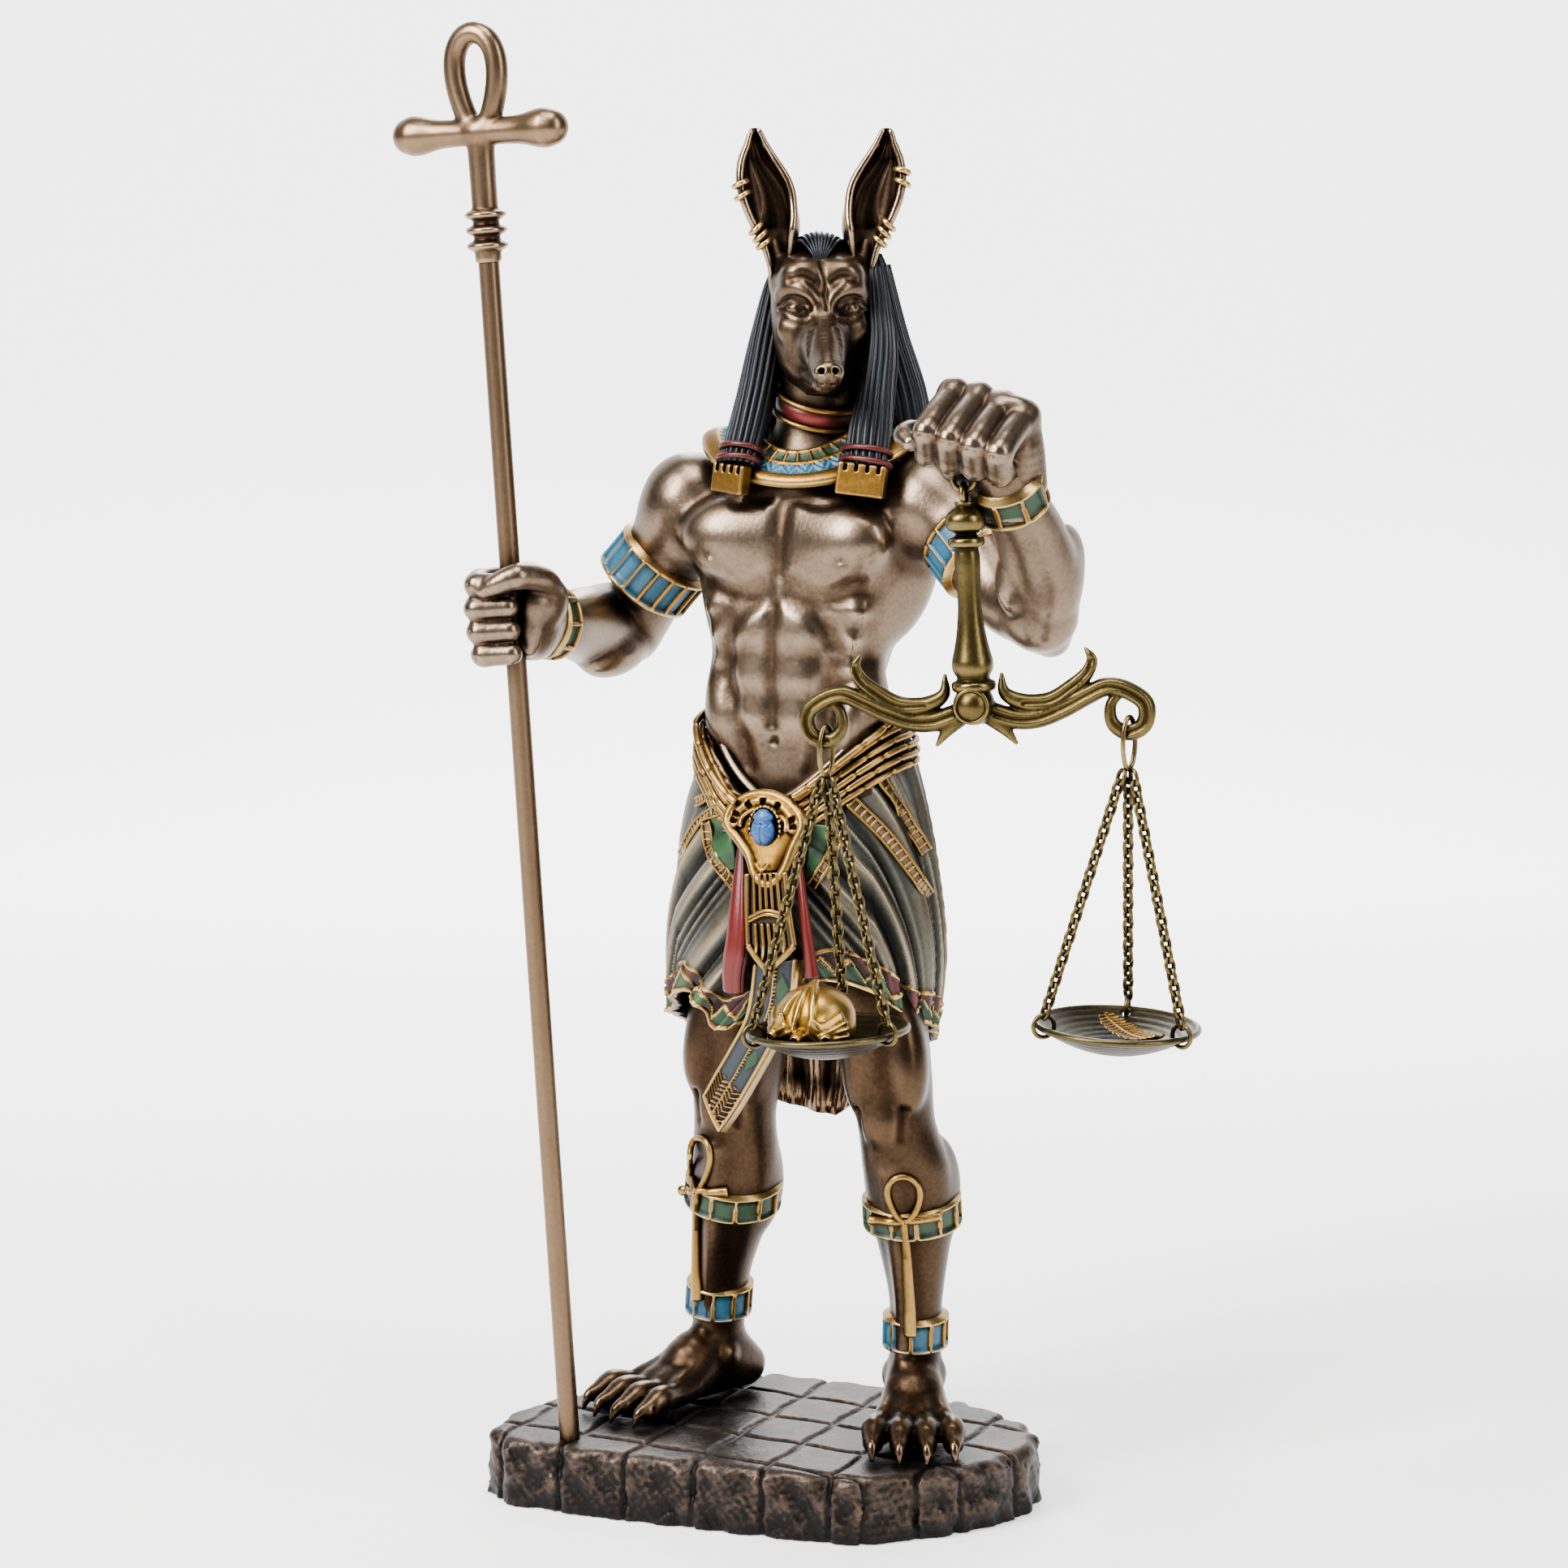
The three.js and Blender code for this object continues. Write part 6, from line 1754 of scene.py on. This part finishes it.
def addHanging(label):
    node = f"{label}_hanger_link"
    low, high = [np.array(v) * 1000 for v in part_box(node)]
    centre = (low + high) / 2
    spread = np.linalg.svd((cadPoints(node) - centre)[:, :2], full_matrices=False)[2][0]
    flatWay = np.array([spread[0], spread[1], 0])
    upHalf = (high[2] - low[2]) / 2 - 0.47
    makePiece(
        f"{label}_hanger", Kit().add(wireLoop(centre, 1.95, upHalf, flatWay, (0, 0, 1), 0.5, 36)),
        ["antiqueBrass"], replaces=(node,)
    )
    for k in (1, 2, 3):
        chain = f"{label}_chain_{k}"
        top, foot = endsOf(chain, 0.04)
        along = unit(foot - top)
        side = unit(np.cross(along, (1, 0.3, 0)))
        other = np.cross(along, side)
        kit = Kit()
        pitch = np.linalg.norm(foot - top) / chainForm["links"]
        for i in range(chainForm["links"] + 1):
            wide = side + other if i % 2 else side - other
            at, half = top + along * pitch * i, pitch / 2 + chainForm["wire"]
            kit.add(wireLoop(at, chainForm["halfWidth"], half, wide, along, chainForm["wire"], 14))
        makePiece(f"{label}_chain{k}", kit, ["antiqueBrass"], replaces=(chain,), reach=0.6)
        ringNode = f"{label}_pan_ring_{k}"
        points = cadPoints(ringNode)
        mid = points.mean(0)
        axes = np.linalg.svd(points - mid, full_matrices=False)[2]
        makePiece(
            f"{label}_rim_ring{k}", Kit().add(wireLoop(mid, 2.1, 2.1, axes[0], axes[1], 0.45, 26)),
            ["antiqueBrass"], replaces=(ringNode,), reach=0.6
        )
    addPan(label)


panForm = {"radius": 15.6, "depth": 5.2, "wall": 0.8, "rimBead": 0.62, "holeReach": 13.9}


def panFrame(label):
    # The middle of the pan's rim and its three directions
    points = cadPoints(f"{label}_pan")
    mid = points.mean(0)
    up = np.linalg.svd(points - mid, full_matrices=False)[2][2]
    up = up * np.sign(up[2])
    height = ((points - mid) @ up).max() - 0.3
    rim = points[((points - mid) @ up) > height - 0.5]
    centre = rim.mean(0)
    across = unit(np.array([1, 0, 0]) - up[0] * up)
    return centre, across, np.cross(up, across), up


def addPan(label):
    form = panForm
    centre, across, deep, up = panFrame(label)
    clay = Clay((-17, -17, -7), (17, 17, 2), 0.32, 1.2)
    radius, depth, wall = form["radius"], form["depth"], form["wall"]

    def distance(x, y, z):
        r = np.hypot(x, y)
        bowl = z + depth * (1 - (r / radius) ** 2)
        slope = np.sqrt(1 + (2 * depth * r / radius**2) ** 2)
        ripple = 0.05 * np.sin(r * 4.2)
        return np.maximum(np.abs(bowl / slope - wall / 2) - wall / 2 - ripple, r - radius + 0.3)

    clay.work(distance, (-16, -16, -6), (16, 16, 1), 0, False)
    bearings, edge = np.linspace(0, 2 * math.pi, 60), radius - 0.3
    rim = [(edge * math.cos(a), edge * math.sin(a), 0.1, form["rimBead"]) for a in bearings]
    clay.limb(rim, blend=0.3, steps=60)
    for k in (1, 2, 3):
        hole = (cadPoints(f"{label}_pan_ring_{k}").mean(0) - centre) @ np.stack([across, deep, up], 1)
        bearing = math.atan2(hole[1], hole[0])
        x, y = form["holeReach"] * math.cos(bearing), form["holeReach"] * math.sin(bearing)
        clay.limb([(x, y, -6, 0.8), (x, y, 3, 0.8)], blend=0.1, cut=True)
    points, faces = clay.surface()
    placed = centre + points[:, :1] * across + points[:, 1:2] * deep + points[:, 2:] * up
    makePiece(
        f"{label}_dish", Kit().add((placed, faces)), ["oliveBrass"],
        replaces=(f"{label}_pan",)
    )


heartForm = {"radius": 8.2, "vessel": 0.5, "folds": 8, "fold": 0.42, "stub": 1.4, "bore": 0.65}


def addHeart():
    low, high = [np.array(v) * 1000 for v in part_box("heart")]
    centre = (low + high) / 2
    form, r = heartForm, heartForm["radius"]
    clay = Clay((-12, -13, -9), (12, 11, 9), 0.28, 1.4)
    clay.blob((0, 0.4, 0), (r * 0.94, r * 0.86, r * 0.74), blend=0.6)
    clay.blob((-3.4, -2, -1.6), (4.9, 6, 4.6), (0, 0, 10), 0.8)
    clay.blob((4, -1.6, -1.8), (4.5, 5.8, 4), (0, 0, -10), 0.8)
    # Vessels over the crown, and crumpled folds that fan out on both sides
    for lean in (-3.4, -0.6, 2.6):
        vessel = [(lean * 0.2, 0, 7), (lean * 0.7, -4.6, 5), (lean, -7, 1.6), (lean * 1.2, -8, -1.4)]
        clay.limb([(*p, form["vessel"]) for p in clay.cling(vessel, 0.15)], blend=0.5, steps=24)
    for s in (-1, 1):
        for k in range(form["folds"]):
            a = math.radians(-38 + 15 * k)
            fold = [
                (s * (1.6 + 0.3 * k), -8, -2.6 + 0.7 * k),
                (s * (4 + 1.2 * math.cos(a)), -6.6, -2.8 + 2.6 * math.sin(a)),
                (s * (6 + 2 * math.cos(a)), -3, -3 + 5 * math.sin(a))
            ]
            path = clay.cling(fold, 0.1)
            clay.limb([(*p, form["fold"] + 0.14 * (k % 2)) for p in path], blend=0.3, steps=20)
            if k % 2:
                clay.groove(clay.cling(path + (0, 0, 0.7), 0.05), 0.3, 0.3)
    # Three open stubs at the front
    for x, y, z, dx in ((-3.6, -7, -2.4, -1.6), (0.2, -7.8, -2.6, 0), (4, -6.6, -2.2, 1.8)):
        clay.limb([(x, y + 2.4, z + 0.6, form["stub"]), (x + dx, y - 0.9, z - 0.4, 1.2)], blend=0.5)
        clay.groove([(x + dx, y - 0.6, z - 0.4), (x + dx * 1.6, y - 3, z - 0.8)], form["bore"], 0.2)
    points, faces = clay.surface()
    makePiece(
        "gold_heart", Kit().add((points + centre, faces)), ["goldLeaf"],
        replaces=("heart",), reach=1
    )


featherForm = {
    "halfLength": 9.2, "halfWidth": 3, "endLift": 1.7, "tipLift": 1.2, "cup": 0.5, "barbRise": 0.16,
    "quillRise": 0.4,
}


def addFeather():
    form = featherForm
    points = cadPoints("feather")
    mid = points.mean(0)
    ahead = np.linalg.svd(points - mid, full_matrices=False)[2][0]
    ahead = ahead * np.sign(ahead[0])
    side = unit(np.cross((0, 0, 1), ahead))
    up = np.cross(ahead, side)
    t = np.linspace(-1, 1, 120)[:, None]
    u = np.linspace(-1, 1, 25)[None, :]
    leaf = form["halfWidth"] * np.sqrt(np.clip(1 - t**2, 0, 1)) ** 0.8
    half = leaf * (1 + 0.06 * np.sin(t * 34)) + 0.25
    lift = form["endLift"] * t**2 + form["tipLift"] * np.clip(t - 0.6, 0, 1) ** 1.4 + form["cup"] * u**2
    barbs = form["barbRise"] * np.sin((t * 60 - np.abs(u) * 7)) * (np.abs(u) > 0.12)
    quill = form["quillRise"] * np.exp(-((u / 0.09) ** 2))
    plane = mid + (t * form["halfLength"])[:, :, None] * ahead + (half * u)[:, :, None] * side
    sheet = lambda height: plane + height[:, :, None] * up
    top = sheet(lift + barbs + quill - 0.6)
    bottom = sheet(lift - 0.9 + 0 * u)[:, ::-1]
    kit = Kit().add(closedGrid(np.concatenate([top, bottom], 1)))
    makePiece("bronze_feather", kit, ["goldPaint"], replaces=("feather",), reach=0.7)


addBase()
addFigure()
addStaff()
addBalance()
addHeart()
addFeather()
print("statue made")

# Studio: the camera's target and distance in mm, all else in metres
studio = {
    "target": (10, -16, 150), "azimuth": 27, "elevation": 8.7, "distance": 780, "lens": 91.3,
    "floorHalf": 3, "floorFront": -1.6, "bend": 0.9, "wallTop": 3.2,
    "lampDistance": 1.1, "lampTarget": (0, 0, 0.15),
}


def paperFinish():
    # White studio paper that glows as a light of its own, more strongly towards its back, as behind a
    # product shot
    material = bpy.data.materials.new("glowingStudioPaper")
    material.use_nodes = True
    tree = material.node_tree
    paper = tree.nodes["Principled BSDF"]
    paper.inputs["Base Color"].default_value = linear("#F2F1EF")
    paper.inputs["Roughness"].default_value = 0.9
    paper.inputs["Emission Color"].default_value = linear("#FFFFFF")
    place = addNode(tree, "TexCoord").outputs["Object"]
    depth = addNode(tree, "SeparateXYZ", {"Vector": place}).outputs["Y"]
    span = {"Value": depth, "From Min": 0.05, "From Max": 0.7, "To Min": 1.0, "To Max": 3.4}
    glow = addNode(tree, "MapRange", span).outputs[0]
    # Only the lens sees the full glow, so that the paper doesn't light the bronze from below
    seen = addNode(tree, "LightPath").outputs["Is Camera Ray"]
    shown = addNode(tree, "MapRange", {"Value": seen, "To Min": 0.4, "To Max": 1.0}).outputs[0]
    strength = addNode(tree, "Math", {0: glow, 1: shown}, operation="MULTIPLY").outputs[0]
    tree.links.new(strength, paper.inputs["Emission Strength"])
    return material


def addFloor():
    # A sweep of paper: flat to the front, bent up behind the statue
    bend, half = studio["bend"], studio["floorHalf"]
    turns = np.linspace(0.1, math.pi / 2, 16)
    profile = [(studio["floorFront"], 0), (bend, 0)]
    profile += [(bend + bend * math.sin(a), bend - bend * math.cos(a)) for a in turns]
    profile.append((2 * bend, studio["wallTop"]))
    points = [(x, y, z) for y, z in profile for x in (-half, half)]
    faces = [(2 * k, 2 * k + 1, 2 * k + 3, 2 * k + 2) for k in range(len(profile) - 1)]
    mesh = bpy.data.meshes.new("studio_floor")
    mesh.from_pydata(points, [], faces)
    mesh.polygons.foreach_set("use_smooth", [True] * len(faces))
    mesh.materials.append(paperFinish())
    floor = bpy.data.objects.new("studio_floor", mesh)
    floor.rotation_euler = (0, 0, math.radians(studio["azimuth"]))
    bpy.context.scene.collection.objects.link(floor)


def aimed(thing, azimuth, elevation):
    # Adds a camera or lamp that looks in from a bearing; returns the direction back towards it
    a, e = math.radians(azimuth), math.radians(elevation)
    back = Vector((math.sin(a) * math.cos(e), -math.cos(a) * math.cos(e), math.sin(e)))
    thing.rotation_mode = "QUATERNION"
    thing.rotation_quaternion = (-back).to_track_quat("-Z", "Y")
    bpy.context.scene.collection.objects.link(thing)
    return back


def addCamera():
    camera = bpy.data.objects.new("camera", bpy.data.cameras.new("camera"))
    back = aimed(camera, studio["azimuth"], studio["elevation"])
    camera.location = (Vector(studio["target"]) + back * studio["distance"]) / 1000
    camera.data.lens, camera.data.sensor_width = studio["lens"], 36
    bpy.context.scene.camera = camera


def addLight(name, azimuth, elevation, size, watts):
    lamp = bpy.data.lights.new(name, "AREA")
    lamp.shape, lamp.size, lamp.size_y, lamp.energy = "RECTANGLE", size[0], size[1], watts
    light = bpy.data.objects.new(name, lamp)
    back = aimed(light, azimuth, elevation)
    light.location = Vector(studio["lampTarget"]) + back * studio["lampDistance"]


addFloor()
addCamera()
# Bearing from the front and height in degrees, width and height in metres, and watts
addLight("key_softbox", -26, 38, (0.4, 0.7), 32)
addLight("fill_softbox", 78, 26, (0.2, 0.9), 8)
addLight("top_softbox", 20, 76, (0.5, 0.5), 12)
addLight("rim_softbox", 205, 35, (0.4, 0.8), 10)
world = bpy.data.worlds.new("studio_air")
world.use_nodes = True
world.node_tree.nodes["Background"].inputs["Color"].default_value = (0.9, 0.92, 0.95, 1)
world.node_tree.nodes["Background"].inputs["Strength"].default_value = 0.08
bpy.context.scene.world = world
print("studio ready")
